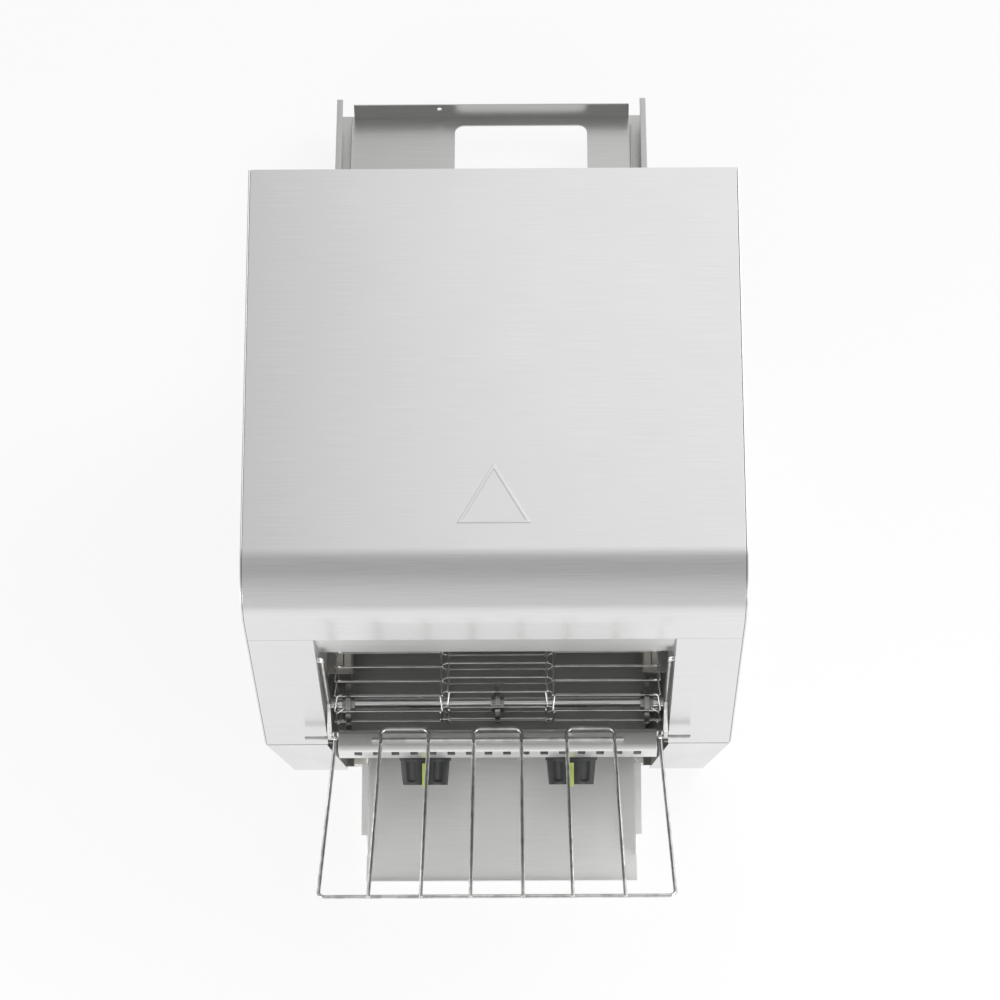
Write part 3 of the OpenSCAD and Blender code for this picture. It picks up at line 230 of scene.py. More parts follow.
@dataclass(frozen=True)
class Finish:
    """What every finish shares: its name and how its material is made once."""

    name: str

    def look(self) -> Look:
        """What the finish puts into the shader; each kind has its own."""
        raise NotImplementedError

    def material(self) -> bpy.types.Material:
        """Makes the material, or returns the one that is already there."""
        made = bpy.data.materials.get(self.name)
        if made is None:
            made = bpy.data.materials.new(self.name)
            self.fill(empty_tree(made))
        return made

    def fill(self, tree: bpy.types.NodeTree) -> bpy.types.Node:
        """Builds the shader in a material's empty tree and returns its Principled BSDF node."""
        look = self.look()
        place = add_node(tree, "ShaderNodeTexCoord").outputs["Object"]
        noises = dict.fromkeys((look.tint, look.relief, *(noise for noise, _, _ in look.sheen)))
        factors = {noise: noise.factor(tree, place) for noise in noises}
        ramp = add_node(tree, "ShaderNodeValToRGB", inputs={"Fac": factors[look.tint]})
        points = ramp.color_ramp.elements
        while len(points) < len(look.stops):
            points.new(0.5)
        for point, (position, code) in zip(points, look.stops):
            point.position, point.color = position, linear(code)
        parts = [
            add_node(tree, "ShaderNodeMapRange", inputs=span(factors[noise], Noise.LOW, Noise.HIGH, low, high))
            for noise, low, high in look.sheen
        ]
        rough = parts[0].outputs[0]
        for part in parts[1:]:
            both = {0: rough, 1: part.outputs[0]}
            rough = add_node(tree, "ShaderNodeMath", {"operation": "ADD"}, both).outputs[0]
        relief = {"Height": factors[look.relief], "Distance": look.depth_mm * MM, "Strength": look.strength}
        bump = add_node(tree, "ShaderNodeBump", inputs=relief)
        surface = {"Base Color": ramp.outputs["Color"], "Roughness": rough, "Normal": bump.outputs["Normal"]}
        shader = add_node(tree, "ShaderNodeBsdfPrincipled", inputs=surface | look.plain)
        add_node(tree, "ShaderNodeOutputMaterial", inputs={"Surface": shader.outputs["BSDF"]})
        return shader


@dataclass(frozen=True)
class BrushedSteel(Finish):
    """Stainless sheet, belt-brushed to a satin grain: streaks, highlights drawn out across them, faint smudges."""

    grain: Grain = Grain.ACROSS
    dark: str = "#E3E3E3"
    pale: str = "#EBEBEB"
    roughness: float = 0.24
    drawn: float = 0.65

    def look(self) -> Look:
        """See Finish.look."""
        # Real grit lines are about 0.05 mm apart; 0.5 mm is as fine as shows
        lines = Noise(self.grain.lines(0.5, 90), 3.0)
        # Hand smudges are about 60 mm wide
        smudge = Noise(60, 3.0)
        return Look(
            tint=lines,
            stops=((0.3, self.dark), (0.7, self.pale)),
            sheen=((lines, self.roughness - 0.015, self.roughness + 0.015), (smudge, -0.005, 0.012)),
            relief=lines,
            depth_mm=0.001,
            strength=0.1,
            # A quarter turn: highlights are drawn out across the grain
            plain={"Metallic": 1.0, "Anisotropic": self.drawn, "Anisotropic Rotation": 0.25},
        )

    def fill(self, tree: bpy.types.NodeTree) -> bpy.types.Node:
        """See Finish.fill; the highlights also get the grain's direction."""
        shader = super().fill(tree)
        spaces = {"vector_type": "VECTOR", "convert_from": "OBJECT", "convert_to": "WORLD"}
        tangent = add_node(tree, "ShaderNodeVectorTransform", spaces, {"Vector": self.grain.tangent()})
        tree.links.new(tangent.outputs[0], shader.inputs["Tangent"])
        return shader


@dataclass(frozen=True)
class HeatedSteel(Finish):
    """Mill-finish sheet near the heaters: dull grey with straw and brown heat tint in broad clouds."""

    dark: str = "#C6C6C4"
    pale: str = "#DADAD8"
    straw: str = "#D6D2CA"
    roughness: float = 0.42

    def look(self) -> Look:
        """See Finish.look."""
        # Heat clouds are about 50 mm wide, mill grain 2 mm
        grain = Noise(Grain.DEEP.lines(2, 12), 3.0)
        return Look(
            tint=Noise(50, 4.0),
            stops=((0.3, self.dark), (0.52, self.pale), (0.72, self.straw)),
            sheen=((grain, self.roughness - 0.06, self.roughness + 0.08),),
            relief=grain,
            depth_mm=0.01,
            plain={"Metallic": 1.0},
        )


@dataclass(frozen=True)
class DrawnWire(Finish):
    """Stainless wire pulled through a die: bright, or lighter still as painted light, with small dark marks from
    bending.
    """

    dark: str = "#C6C6C4"
    pale: str = "#EAEAE8"
    roughness: float = 0.14
    mark_mm: float = 9.0

    def look(self) -> Look:
        """See Finish.look."""
        marks = Noise(self.mark_mm, 4.0)
        return Look(
            tint=marks,
            stops=((0.34, self.dark), (0.58, self.pale)),
            sheen=((marks, self.roughness + 0.08, self.roughness - 0.03),),
            relief=Noise(0.6),
            depth_mm=0.008,
            strength=0.2,
            plain={"Metallic": 1.0},
        )


@dataclass(frozen=True)
class TurnedMetal(Finish):
    """Bar turned on a lathe: fine rings round the axis that catch the light in bands."""

    dark: str = "#A9A9A8"
    pale: str = "#D2D2D1"
    roughness: float = 0.22

    def look(self) -> Look:
        """See Finish.look."""
        # Feed marks are 0.1 mm apart; 0.4 mm is as fine as shows, and they run 33 mm round the bar
        run = 33.333
        rings = Noise(Grain.ACROSS.lines(run, 0.4 / run))
        return Look(
            tint=rings,
            stops=((0.3, self.dark), (0.7, self.pale)),
            sheen=((rings, self.roughness - 0.02, self.roughness + 0.02),),
            relief=rings,
            depth_mm=0.0005,
            strength=0.1,
            plain={"Metallic": 1.0},
        )


@dataclass(frozen=True)
class Moulded(Finish):
    """Injection-moulded plastic: even colour with a fine spark-eroded grain that keeps highlights soft."""

    dark: str = "#262728"
    pale: str = "#303132"
    roughness: float = 0.42
    grain_mm: float = 0.6
    clearness: float = 0.0

    def look(self) -> Look:
        """See Finish.look."""
        grain = Noise(self.grain_mm, 3.0)
        plain: dict[str, Any] = {"IOR": 1.5}
        if self.clearness:
            plain["Subsurface Weight"] = self.clearness
            plain["Subsurface Radius"] = (0.9, 0.9, 0.8)
            plain["Subsurface Scale"] = 2 * MM
        return Look(
            tint=Noise(14),
            stops=((0.32, self.dark), (0.68, self.pale)),
            sheen=((grain, self.roughness - 0.05, self.roughness + 0.06),),
            relief=grain,
            depth_mm=0.02,
            strength=0.35,
            plain=plain,
        )


@dataclass(frozen=True)
class Rubber(Finish):
    """Moulded nitrile rubber: nearly black, matt, with a dusty bloom in patches."""

    dark: str = "#1A1A1B"
    bloom: str = "#303030"

    def look(self) -> Look:
        """See Finish.look."""
        patches = Noise(8, 4.0)
        return Look(
            tint=patches,
            stops=((0.42, self.dark), (0.75, self.bloom)),
            sheen=((patches, 0.62, 0.82),),
            relief=Noise(0.8),
            depth_mm=0.03,
            strength=0.4,
        )


@dataclass(frozen=True)
class Steatite(Finish):
    """Pressed and fired steatite ceramic: warm white, slightly glazed, with sparse grey specks."""

    body: str = "#DAD7CE"
    speck: str = "#B4AFA4"

    def look(self) -> Look:
        """See Finish.look."""
        specks = Noise(0.9, 3.0)
        return Look(
            tint=specks,
            stops=((0.3, self.speck), (0.42, self.body)),
            sheen=((specks, 0.5, 0.32),),
            relief=specks,
            depth_mm=0.02,
            plain={"IOR": 1.6},
        )


@dataclass(frozen=True)
class QuartzGlass(Finish):
    """Drawn fused-quartz tube: clear with faint lengthwise draw lines that bend the coil's outline."""

    faint: str = "#F3F6F6"
    clear: str = "#F5F6F6"

    def look(self) -> Look:
        """See Finish.look."""
        lines = Noise(Grain.ACROSS.lines(1.5, 60))
        return Look(
            tint=lines,
            stops=((0.3, self.faint), (0.7, self.clear)),
            sheen=((lines, 0.02, 0.07),),
            relief=lines,
            depth_mm=0.01,
            plain={"Transmission Weight": 1.0, "IOR": 1.458},
        )


@dataclass(frozen=True)
class OxidisedAlloy(Finish):
    """Iron-chromium-aluminium heating wire or oiled chain steel: dark brown-grey oxide with a low metal sheen."""

    dark: str = "#3B3632"
    pale: str = "#6A625A"
    roughness: float = 0.5
    oil: float = 0.0

    def look(self) -> Look:
        """See Finish.look."""
        oxide = Noise(3, 4.0)
        return Look(
            tint=oxide,
            stops=((0.35, self.dark), (0.68, self.pale)),
            sheen=((oxide, self.roughness - 0.1, self.roughness + 0.1),),
            relief=oxide,
            depth_mm=0.03,
            plain={"Metallic": 0.85, "Coat Weight": self.oil},
        )


@dataclass(frozen=True)
class Enamel(Finish):
    """Sprayed stoving enamel on die-cast housings: satin grey with a fine orange-peel skin."""

    dark: str = "#5B5E60"
    pale: str = "#66696B"

    def look(self) -> Look:
        """See Finish.look."""
        cloud = Noise(25)
        return Look(
            tint=cloud,
            stops=((0.3, self.dark), (0.7, self.pale)),
            sheen=((cloud, 0.34, 0.44),),
            relief=Noise(1.6),
            depth_mm=0.02,
            strength=0.4,
        )


STEEL_ACROSS = BrushedSteel("brushed_stainless_across")
STEEL_DEEP = BrushedSteel("brushed_stainless_deep", grain=Grain.DEEP)
STEEL_SHADED = BrushedSteel("brushed_stainless_shaded", dark="#BEBEBD", pale="#CACAC9", roughness=0.3)
# A darker copy of the deep-grain steel, in the shaded copy's colours: painted shade on the rear rails
STEEL_RAIL_PAINTED_SHADE = BrushedSteel("brushed_stainless_rail", grain=Grain.DEEP, dark="#BEBEBD", pale="#CACAC9", roughness=0.3)
# A near-white copy of the brushed steel: painted light that makes the front tray read bright
STEEL_TRAY_PAINTED_LIGHT = BrushedSteel("brushed_stainless_tray", dark="#F3F3F2", pale="#F9F9F8", roughness=0.7, drawn=0.2)
# A lighter, rougher copy of the brushed steel: painted light on the forehead panel and landing plate inside the dim
# mouth
STEEL_MATT_PAINTED_LIGHT = BrushedSteel("brushed_stainless_matt", dark="#EAEAE9", pale="#F2F2F1", roughness=0.36, drawn=0.4)
CHASSIS = HeatedSteel("mill_finish_steel_heated")
WIRE_BRIGHT = DrawnWire("drawn_wire_bright")
# A lighter copy of the drawn wire: painted light that makes the belt rods read bright
WIRE_BELT_PAINTED_LIGHT = DrawnWire("drawn_wire_heat_dulled", dark="#DCDBD9", pale="#F6F5F3", roughness=0.16, mark_mm=14.0)
# A near-white copy of the turned metal: painted light that makes shafts, spindles and screw heads read bright
TURNED_STEEL_PAINTED_LIGHT = TurnedMetal("turned_steel", dark="#EDEDEC", pale="#F3F3F2", roughness=0.18)
PLATE_EDGE = TurnedMetal("stamped_steel_wheel", dark="#9B9B9A", pale="#C4C4C3", roughness=0.3)
BRONZE = TurnedMetal("sintered_bronze", dark="#8E7347", pale="#B99A66", roughness=0.36)
KNOB_BLACK = Moulded("moulded_abs_black", dark="#28292A", pale="#343536", roughness=0.4)
POINTER_LIME = Moulded("moulded_abs_lime", dark="#A3B65C", pale="#BFD173", roughness=0.36)
INNER_BLACK = Moulded("moulded_pbt_black", dark="#1E1F21", pale="#2A2B2D", roughness=0.5)
TERMINAL = Moulded("moulded_polyamide_ivory", dark="#CFCBBB", pale="#DAD6C8", roughness=0.45, clearness=0.1)
NYLON = Moulded("extruded_nylon_white", dark="#DEDCD4", pale="#E9E7E0", roughness=0.4, clearness=0.2)
FOOT = Rubber("moulded_nitrile_rubber")
CERAMIC = Steatite("fired_steatite")
QUARTZ = QuartzGlass("drawn_quartz_tube")
HOT_WIRE = OxidisedAlloy("oxidised_heating_wire")
CHAIN = OxidisedAlloy("oiled_chain_steel", dark="#4A4845", pale="#77746F", roughness=0.34, oil=0.5)
MOTOR = Enamel("stoved_enamel_grey")
INK = Moulded("screen_printed_ink", dark="#3A3B3C", pale="#464748", roughness=0.55, grain_mm=0.3)


def smooth_by_angle(mesh: bmesh.types.BMesh, limit: float = 32.0) -> None:
    """Shades a mesh smooth, with creases where faces meet at more than the limit in degrees."""
    for face in mesh.faces:
        face.smooth = True
    for edge in mesh.edges:
        edge.smooth = len(edge.link_faces) != 2 or edge.calc_face_angle(0) < math.radians(limit)


def add_piece(
    name: str,
    mesh: bmesh.types.BMesh,
    body: str,
    finish: Finish,
    nodes: tuple[str, ...] = (),
) -> None:
    """Makes an object of a finished mesh, dresses it and lets it ride on its body.

    Args:
        name: the piece's name.
        mesh: its mesh, in place; it is freed.
        body: the body it moves with.
        finish: its finish.
        nodes: the CAD nodes that it replaces.
    """
    data = mesh_data(name, mesh)
    data.materials.append(finish.material())
    piece = new_object(name, data)
    weigh = piece.modifiers.new("flat_faces", "WEIGHTED_NORMAL")
    weigh.keep_sharp = True
    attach(piece, body)
    if nodes:
        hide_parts(*nodes)
    LOG.info("%s: %d faces on %s", name, len(data.polygons), body)


def turned_frames(path: Sequence[Vector]) -> list[Matrix]:
    """Frames along a path that turn as little as they can, one per point, with Z along the path."""
    steps = [(b - a).normalized() for a, b in zip(path, path[1:])]
    ways = [steps[0], *((a + b).normalized() for a, b in zip(steps, steps[1:])), steps[-1]]
    side = ways[0].orthogonal().normalized()
    frames = []
    for point, way in zip(path, ways):
        side = (side - way * side.dot(way)).normalized()
        up = way.cross(side)
        frames.append(Matrix.Translation(point) @ Matrix((side, up, way)).transposed().to_4x4())
    return frames


def rounded(path: Sequence[Point], radius: float, steps: int) -> list[Vector]:
    """Replaces a path's corners with arcs.

    Args:
        path: corner points.
        radius: bend radius.
        steps: straight pieces per bend.

    Returns:
        The points of the rounded path.
    """
    corners = [Vector(p) for p in path]
    made = [corners[0]]
    for before, corner, after in zip(corners, corners[1:], corners[2:]):
        into, out = (corner - before).normalized(), (after - corner).normalized()
        turn = into.angle(out, 0.0)
        if turn < NO_BEND:
            made.append(corner)
            continue
        room = LEG_SHARE * min((corner - before).length, (after - corner).length)
        cut = min(radius * math.tan(turn / 2), room)
        bend = cut / math.tan(turn / 2)
        start = corner - into * cut
        axis = into.cross(out).normalized()
        centre = start + axis.cross(into) * bend
        for step in range(steps + 1):
            made.append(centre + Matrix.Rotation(turn * step / steps, 3, axis) @ (start - centre))
    made.append(corners[-1])
    return made


def sweep(path: Sequence[Vector], radius: float, sides: int, tip: float = 0.0) -> bmesh.types.BMesh:
    """Draws a round wire along a path by extruding a ring.

    Args:
        path: points of the centreline.
        radius: the wire's radius.
        sides: faces round it.
        tip: how far its ends are rounded.

    Returns:
        The closed wire.
    """
    wire = bmesh.new()
    frames = turned_frames(path)
    bmesh.ops.create_circle(wire, cap_ends=True, radius=radius, segments=sides, matrix=frames[0])
    edges = list(wire.edges)
    for last, here in zip(frames, frames[1:]):
        grown = bmesh.ops.extrude_edge_only(wire, edges=edges)["geom"]
        points = [g for g in grown if isinstance(g, bmesh.types.BMVert)]
        known = set(points)
        edges = [g for g in grown if isinstance(g, bmesh.types.BMEdge) and set(g.verts) <= known]
        bmesh.ops.transform(wire, matrix=here @ last.inverted(), verts=points)
    bmesh.ops.edgeloop_fill(wire, edges=edges)
    if tip:
        rims = list({e for f in wire.faces if len(f.verts) == sides for e in f.edges})
        bmesh.ops.bevel(wire, geom=rims, offset=tip, segments=2, profile=0.5, affect="EDGES", material=-1)
    bmesh.ops.recalc_face_normals(wire, faces=wire.faces)
    return wire


def gather(parts: Iterable[bmesh.types.BMesh]) -> bmesh.types.BMesh:
    """Joins meshes into one, and frees them."""
    whole = bmesh.new()
    for part in parts:
        data = mesh_data("part", part)
        whole.from_mesh(data)
        bpy.data.meshes.remove(data)
    return whole


def moved_copy(source: bmesh.types.BMesh, matrix: Matrix) -> bmesh.types.BMesh:
    """A copy of a mesh, placed by a matrix."""
    copy = source.copy()
    bmesh.ops.transform(copy, matrix=matrix, verts=copy.verts)
    return copy


@dataclass
class Skin:
    """Dresses a sheet metal or moulded node: its merged copy with broken edges stands for it."""

    node: str
    finish: Finish
    slot: str
    break_mm: float = 0.3
    shortest_mm: float = 1.6
    crease: float = 40.0
    flat: float = 0.6

    def build(self, frame: dict[str, Any]) -> None:
        source = frame["nodes"][self.node]
        mesh = bmesh.new()
        mesh.from_mesh(source.data)
        bmesh.ops.remove_doubles(mesh, verts=mesh.verts, dist=2 * SAME_POINT)
        flat = math.radians(self.flat)
        bmesh.ops.dissolve_limit(mesh, angle_limit=flat, verts=mesh.verts, edges=mesh.edges, delimit={"NORMAL"})
        if self.break_mm:
            sharp = [
                e
                for e in mesh.edges
                if len(e.link_faces) == 2
                and e.calc_length() > self.shortest_mm * MM
                and e.is_convex
                and e.calc_face_angle(0) > math.radians(self.crease)
            ]
            width = self.break_mm * MM
            bmesh.ops.bevel(mesh, geom=sharp, offset=width, segments=2, profile=0.5, affect="EDGES", material=-1)
        smooth_by_angle(mesh)
        body = str(source["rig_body"])
        add_piece(f"{self.node}_skin", mesh, body, self.finish, (self.node,))


@dataclass
class PanHead:
    """A screw's pan head with a cross recess; sizes in millimetres."""

    diameter: float = 7.0
    height: float = 1.15
    dome: float = 0.8
    rim: float = 0.3
    flat_reach: float = 2.77
    cross_half: float = 0.45
    cross_reach: float = 2.0
    cross_depth: float = 0.6
    upward: float = 0.99

    def build(self) -> bmesh.types.BMesh:
        """The head, looking up +Z from the origin."""
        mesh = bmesh.new()
        radius = self.diameter / 2 * MM
        middle = Matrix.Translation((0, 0, self.height / 2 * MM))
        size = {"radius1": radius, "radius2": radius, "depth": self.height * MM}
        bmesh.ops.create_cone(mesh, cap_ends=True, segments=24, matrix=middle, **size)
        edge = [e for e in mesh.edges if all(v.co.z > self.height / 2 * MM for v in e.verts)]
        bmesh.ops.bevel(mesh, geom=edge, offset=self.dome * MM, segments=4, profile=0.6, affect="EDGES", material=-1)
        cap = max(mesh.faces, key=lambda f: f.calc_center_median().z)
        bmesh.ops.inset_region(mesh, faces=[cap], thickness=self.rim * MM)
        half = self.cross_half * MM
        for normal in ((1, 0, 0), (-1, 0, 0), (0, 1, 0), (0, -1, 0)):
            flat = [f for f in mesh.faces if self.on_top(f, self.flat_reach)]
            geom = list({g for f in flat for g in (f, *f.edges, *f.verts)})
            bmesh.ops.bisect_plane(mesh, geom=geom, dist=1e-7, plane_co=Vector(normal) * half, plane_no=normal)
        top = [(f, f.calc_center_median()) for f in mesh.faces if self.on_top(f, self.cross_reach)]
        cross = [face for face, centre in top if min(abs(centre.x), abs(centre.y)) < half]
        sunk = bmesh.ops.extrude_face_region(mesh, geom=cross)["geom"]
        points = [g for g in sunk if isinstance(g, bmesh.types.BMVert)]
        bmesh.ops.translate(mesh, vec=(0, 0, -self.cross_depth * MM), verts=points)
        bmesh.ops.delete(mesh, geom=cross, context="FACES_ONLY")
        bmesh.ops.recalc_face_normals(mesh, faces=mesh.faces)
        return mesh

    def on_top(self, face: bmesh.types.BMFace, reach: float) -> bool:
        """Whether a face looks up and its middle lies within a reach of the head's axis."""
        return face.normal.z > self.upward and face.calc_center_median().xy.length < reach * MM


@dataclass
class Housing:
    """Casing, base and chassis: brushed sheet outside, heat-toned sheet inside, screws, feet and gland."""

    depth: float = 348.0
    width: float = 368.0
    inner_w: float = 365.2
    floor_z: float = 69.0
    screw_inset: float = 8.0
    back_screw_z: tuple[float, ...] = (89.0, 233.5, 367.0)
    side_screw_y: tuple[float, ...] = (40.0, 174.0, 308.0)

    def build(self, frame: dict[str, Any]) -> None:
        """Builds its pieces."""
        for node, finish in {
            "top_cover": STEEL_ACROSS,
            "left_side_panel": STEEL_DEEP,
            "right_side_panel": STEEL_DEEP,
            "left_front_plate": STEEL_ACROSS,
            "right_front_plate": STEEL_ACROSS,
            "forehead_panel": STEEL_MATT_PAINTED_LIGHT,
            "back_panel": STEEL_ACROSS,
            "left_base_leg": STEEL_DEEP,
            "right_base_leg": STEEL_DEEP,
            "exit_ramp": STEEL_ACROSS,
            "toast_chute": STEEL_SHADED,
        }.items():
            Skin(node, finish, "casing_steel").build(frame)
        for node in ("floor_plate", "left_chassis_plate", "right_chassis_plate", "upper_reflector", "motor_bracket"):
            Skin(node, CHASSIS, "chassis_steel").build(frame)
        Skin("rubber_feet", FOOT, "foot_rubber", break_mm=1.2, shortest_mm=0.8).build(frame)
        Skin("cable_gland", INNER_BLACK, "black_plastic", break_mm=0.5, shortest_mm=0.6).build(frame)
        self.screws()

    def screws(self) -> None:
        """The casing screws, as one piece."""
        head = PanHead().build()
        parts = []
        for side in (-1, 1):
            for z in self.back_screw_z:
                place = Vector((side * (self.inner_w / 2 - self.screw_inset), self.depth + FRONT_Y, z)) * MM
                parts.append(moved_copy(head, Matrix.Translation(place) @ Matrix.Rotation(-math.pi / 2, 4, "X")))
            for y in self.side_screw_y:
                place = Vector((side * self.width / 2, y + FRONT_Y, self.floor_z + self.screw_inset)) * MM
                turn = Matrix.Rotation(side * math.pi / 2, 4, "Y")
                parts.append(moved_copy(head, Matrix.Translation(place) @ turn))
        head.free()
        whole = gather(parts)
        smooth_by_angle(whole)
        add_piece("casing_screw_heads", whole, "housing", TURNED_STEEL_PAINTED_LIGHT, ("casing_screws",))


def wound_wire(wire: float, sides: int, first: Matrix, **spin: Any) -> bmesh.types.BMesh:
    """Winds a round wire about the X axis.

    Args:
        wire: its diameter in millimetres.
        sides: faces round it.
        first: frame of the ring that it starts with.
        spin: settings of bmesh.ops.spin.

    Returns:
        The closed wire.
    """
    mesh = bmesh.new()
    bmesh.ops.create_circle(mesh, radius=wire / 2 * MM, segments=sides, matrix=first)
    bmesh.ops.spin(mesh, geom=[*mesh.verts, *mesh.edges], cent=(0, 0, 0), axis=(1, 0, 0), **spin)
    bmesh.ops.remove_doubles(mesh, verts=mesh.verts, dist=SAME_POINT)
    bmesh.ops.holes_fill(mesh, edges=mesh.edges)
    bmesh.ops.recalc_face_normals(mesh, faces=mesh.faces)
    return mesh


@dataclass
class WireTie:
    """A twist of thin wire round a mended rod; sizes in millimetres."""

    wire: float = 1.1
    coil_r: float = 1.25
    advance: float = 0.075
    turn: float = 690.0
    steps: int = 32

    def build(self, matrix: Matrix) -> bmesh.types.BMesh:
        """One twist round X, placed by a matrix."""
        first = Matrix.Translation((0, 0, self.coil_r * MM)) @ Matrix.Rotation(math.pi / 2, 4, "Y")
        advance = (self.advance * MM, 0, 0)
        tie = wound_wire(self.wire, 6, first, dvec=advance, angle=math.radians(self.turn), steps=self.steps)
        bmesh.ops.transform(tie, matrix=matrix, verts=tie.verts)
        return tie


@dataclass
class WireBelt:
    """The wire belt on its sprockets: each rod is hooked over the next at both edges and at two joint rows."""

    idler_y: float = 26.0
    upper_z: float = 110.0
    width: float = 257.0
    pitch: float = 12.0
    wire: float = 1.5
    teeth: int = 8
    span: int = 23
    mid_shift: float = 3.0
    joint: float = 41.3
    hook_half: float = 1.8
    hook_spread: float = 1.6
    hook_past: float = 1.5
    end_hook: float = 7.0
    end_turn: float = 2.0
    bend: float = 0.9
    splices: tuple[tuple[float, int], ...] = ((-62.0, 0), (44.0, 4))
    twists: tuple[tuple[float, float], ...] = ((0.5, -1.2), (-0.6, 1.0))

    @property
    def radius(self) -> float:
        """Radius of the rods' circle on a sprocket."""
        return self.pitch / 2 / math.sin(math.pi / self.teeth)

    @property
    def rods(self) -> int:
        """Number of rods round the loop."""
        return 2 * self.span + self.teeth

    @property
    def hook_rise(self) -> float:
        """How far hooks stand off the belt's plane."""
        return self.wire + 0.15

    def loop_point(self, index: int) -> tuple[float, float]:
        """Place of a rod from the idler shaft's axis, as y and z."""
        i = index % self.rods
        half = self.teeth // 2
        turn = 2 * math.pi / self.teeth
        if i < self.span:
            return i * self.pitch, self.radius
        if i < self.span + half:
            a = (i - self.span) * turn
            return self.span * self.pitch + self.radius * math.sin(a), self.radius * math.cos(a)
        if i < 2 * self.span + half:
            return (2 * self.span + half - i) * self.pitch, -self.radius
        a = (i - 2 * self.span - half) * turn
        return -self.radius * math.sin(a), -self.radius * math.cos(a)

    def place(self, index: int, x: float, along: float, out: float) -> Point:
        """A rod's point in metres, from mm across the belt, along to the next rod and out of the belt's plane."""
        here, there = Vector(self.loop_point(index)), Vector(self.loop_point(index + 1))
        way = (there - here).normalized()
        spot = here + way * along + Vector((-way.y, way.x)) * out
        z = self.upper_z - self.radius + spot.y
        return x * MM, (FRONT_Y + self.idler_y + spot.x) * MM, z * MM

    def rod_path(self, index: int) -> list[Point]:
        """Corner points of one rod."""
        edge = self.width / 2 - self.wire / 2
        rise, past = self.hook_rise, self.pitch + self.hook_past
        hook, turn = edge - self.end_hook, edge - self.end_turn
        points = [(-hook, past, -rise), (-turn, self.pitch, rise), (-edge, 0.0, 0.0)]
        for x, left, right in ((-self.joint, 0.0, self.mid_shift), (self.joint, self.mid_shift, 0.0)):
            wide = self.hook_half + self.hook_spread
            points += [
                (x - self.hook_half, left, 0.0),
                (x - wide, self.pitch + left, rise),
                (x - wide, past + left, -rise),
                (x + wide, past + right, -rise),
                (x + wide, self.pitch + right, rise),
                (x + self.hook_half, right, 0.0),
            ]
        points += [(edge, 0.0, 0.0), (turn, self.pitch, rise), (hook, past, -rise)]
        return [self.place(index, *p) for p in points]

    def build(self, frame: dict[str, Any]) -> None:
        """Builds its pieces."""
        radius = self.wire / 2 * MM * INSIDE
        belt = gather(sweep(rounded(self.rod_path(i), self.bend * MM, 2), radius, 6) for i in range(self.rods))
        smooth_by_angle(belt, 70)
        add_piece("belt_rods", belt, "housing", WIRE_BELT_PAINTED_LIGHT, ("conveyor_belt",))
        ties = []
        for x, index in self.splices:
            x0, y, z = self.place(index, x, 0.0, 0.0)
            for lean, offset in self.twists:
                spot = Matrix.Translation((x0 + offset * MM, y, z))
                ties.append(WireTie().build(spot @ Matrix.Rotation(lean, 4, "Z")))
        knots = gather(ties)
        smooth_by_angle(knots, 70)
        add_piece("belt_wire_ties", knots, "housing", WIRE_BELT_PAINTED_LIGHT)
        for nodes, finish, slot in (
            (("idler_shaft", "drive_shaft", "motor_shaft"), TURNED_STEEL_PAINTED_LIGHT, "shaft_steel"),
            (("idler_sprockets", "drive_sprockets", "chain_wheel", "motor_sprocket"), PLATE_EDGE, "shaft_steel"),
            (("shaft_bushes",), BRONZE, "bush_brass"),
            (("belt_guide_rails",), CHASSIS, "chassis_steel"),
            (("belt_guide_blocks",), CERAMIC, "ceramic"),
            (("gear_motor",), MOTOR, "motor_grey"),
        ):
            for node in nodes:
                Skin(node, finish, slot, shortest_mm=0.8).build(frame)
        # The chain is shown as it is
        chain = frame["nodes"]["drive_chain"].data
        chain.materials.clear()
        chain.materials.append(CHAIN.material())


@dataclass
class Heaters:
    """Quartz tube heaters with wound coils, ceramic caps and the electrical parts beside the tunnel."""

    rows_y: tuple[float, ...] = (84.0, 162.0, 240.0)
    rows_z: tuple[float, ...] = (92.0, 205.0)
    coil_d: float = 5.0
    coil_wire: float = 0.7
    coil_pitch: float = 2.6
    coil_steps: int = 12
    length: float = 252.0

    def build(self, frame: dict[str, Any]) -> None:
        """Builds its pieces."""
        turns = int(self.length / self.coil_pitch)
        steps = turns * self.coil_steps
        start = Vector((-self.length / 2, 0, (self.coil_d - self.coil_wire) / 2)) * MM
        first = Matrix.Translation(start) @ Matrix.Rotation(math.pi / 2, 4, "X")
        advance = (self.length / steps * MM, 0, 0)
        coil = wound_wire(self.coil_wire, 5, first, dvec=advance, angle=2 * math.pi * turns, steps=steps)
        places = [Vector((0, y + FRONT_Y, z)) * MM for y in self.rows_y for z in self.rows_z]
        coils = gather(moved_copy(coil, Matrix.Translation(p)) for p in places)
        coil.free()
        smooth_by_angle(coils, 80)
        add_piece("wound_coils", coils, "housing", HOT_WIRE, ("heating_coils",))
        for node, finish, slot, break_mm in (
            ("quartz_tubes", QUARTZ, "quartz", 0.2),
            ("ceramic_caps", CERAMIC, "ceramic", 0.4),
            ("terminal_block", TERMINAL, "ivory_plastic", 0.4),
            ("overheat_thermostat", CERAMIC, "ceramic", 0.4),
            ("fan_frame", INNER_BLACK, "black_plastic", 0.4),
            ("fan_rotor", INNER_BLACK, "black_plastic", 0.4),
        ):
            Skin(node, finish, slot, break_mm=break_mm, shortest_mm=1.0).build(frame)


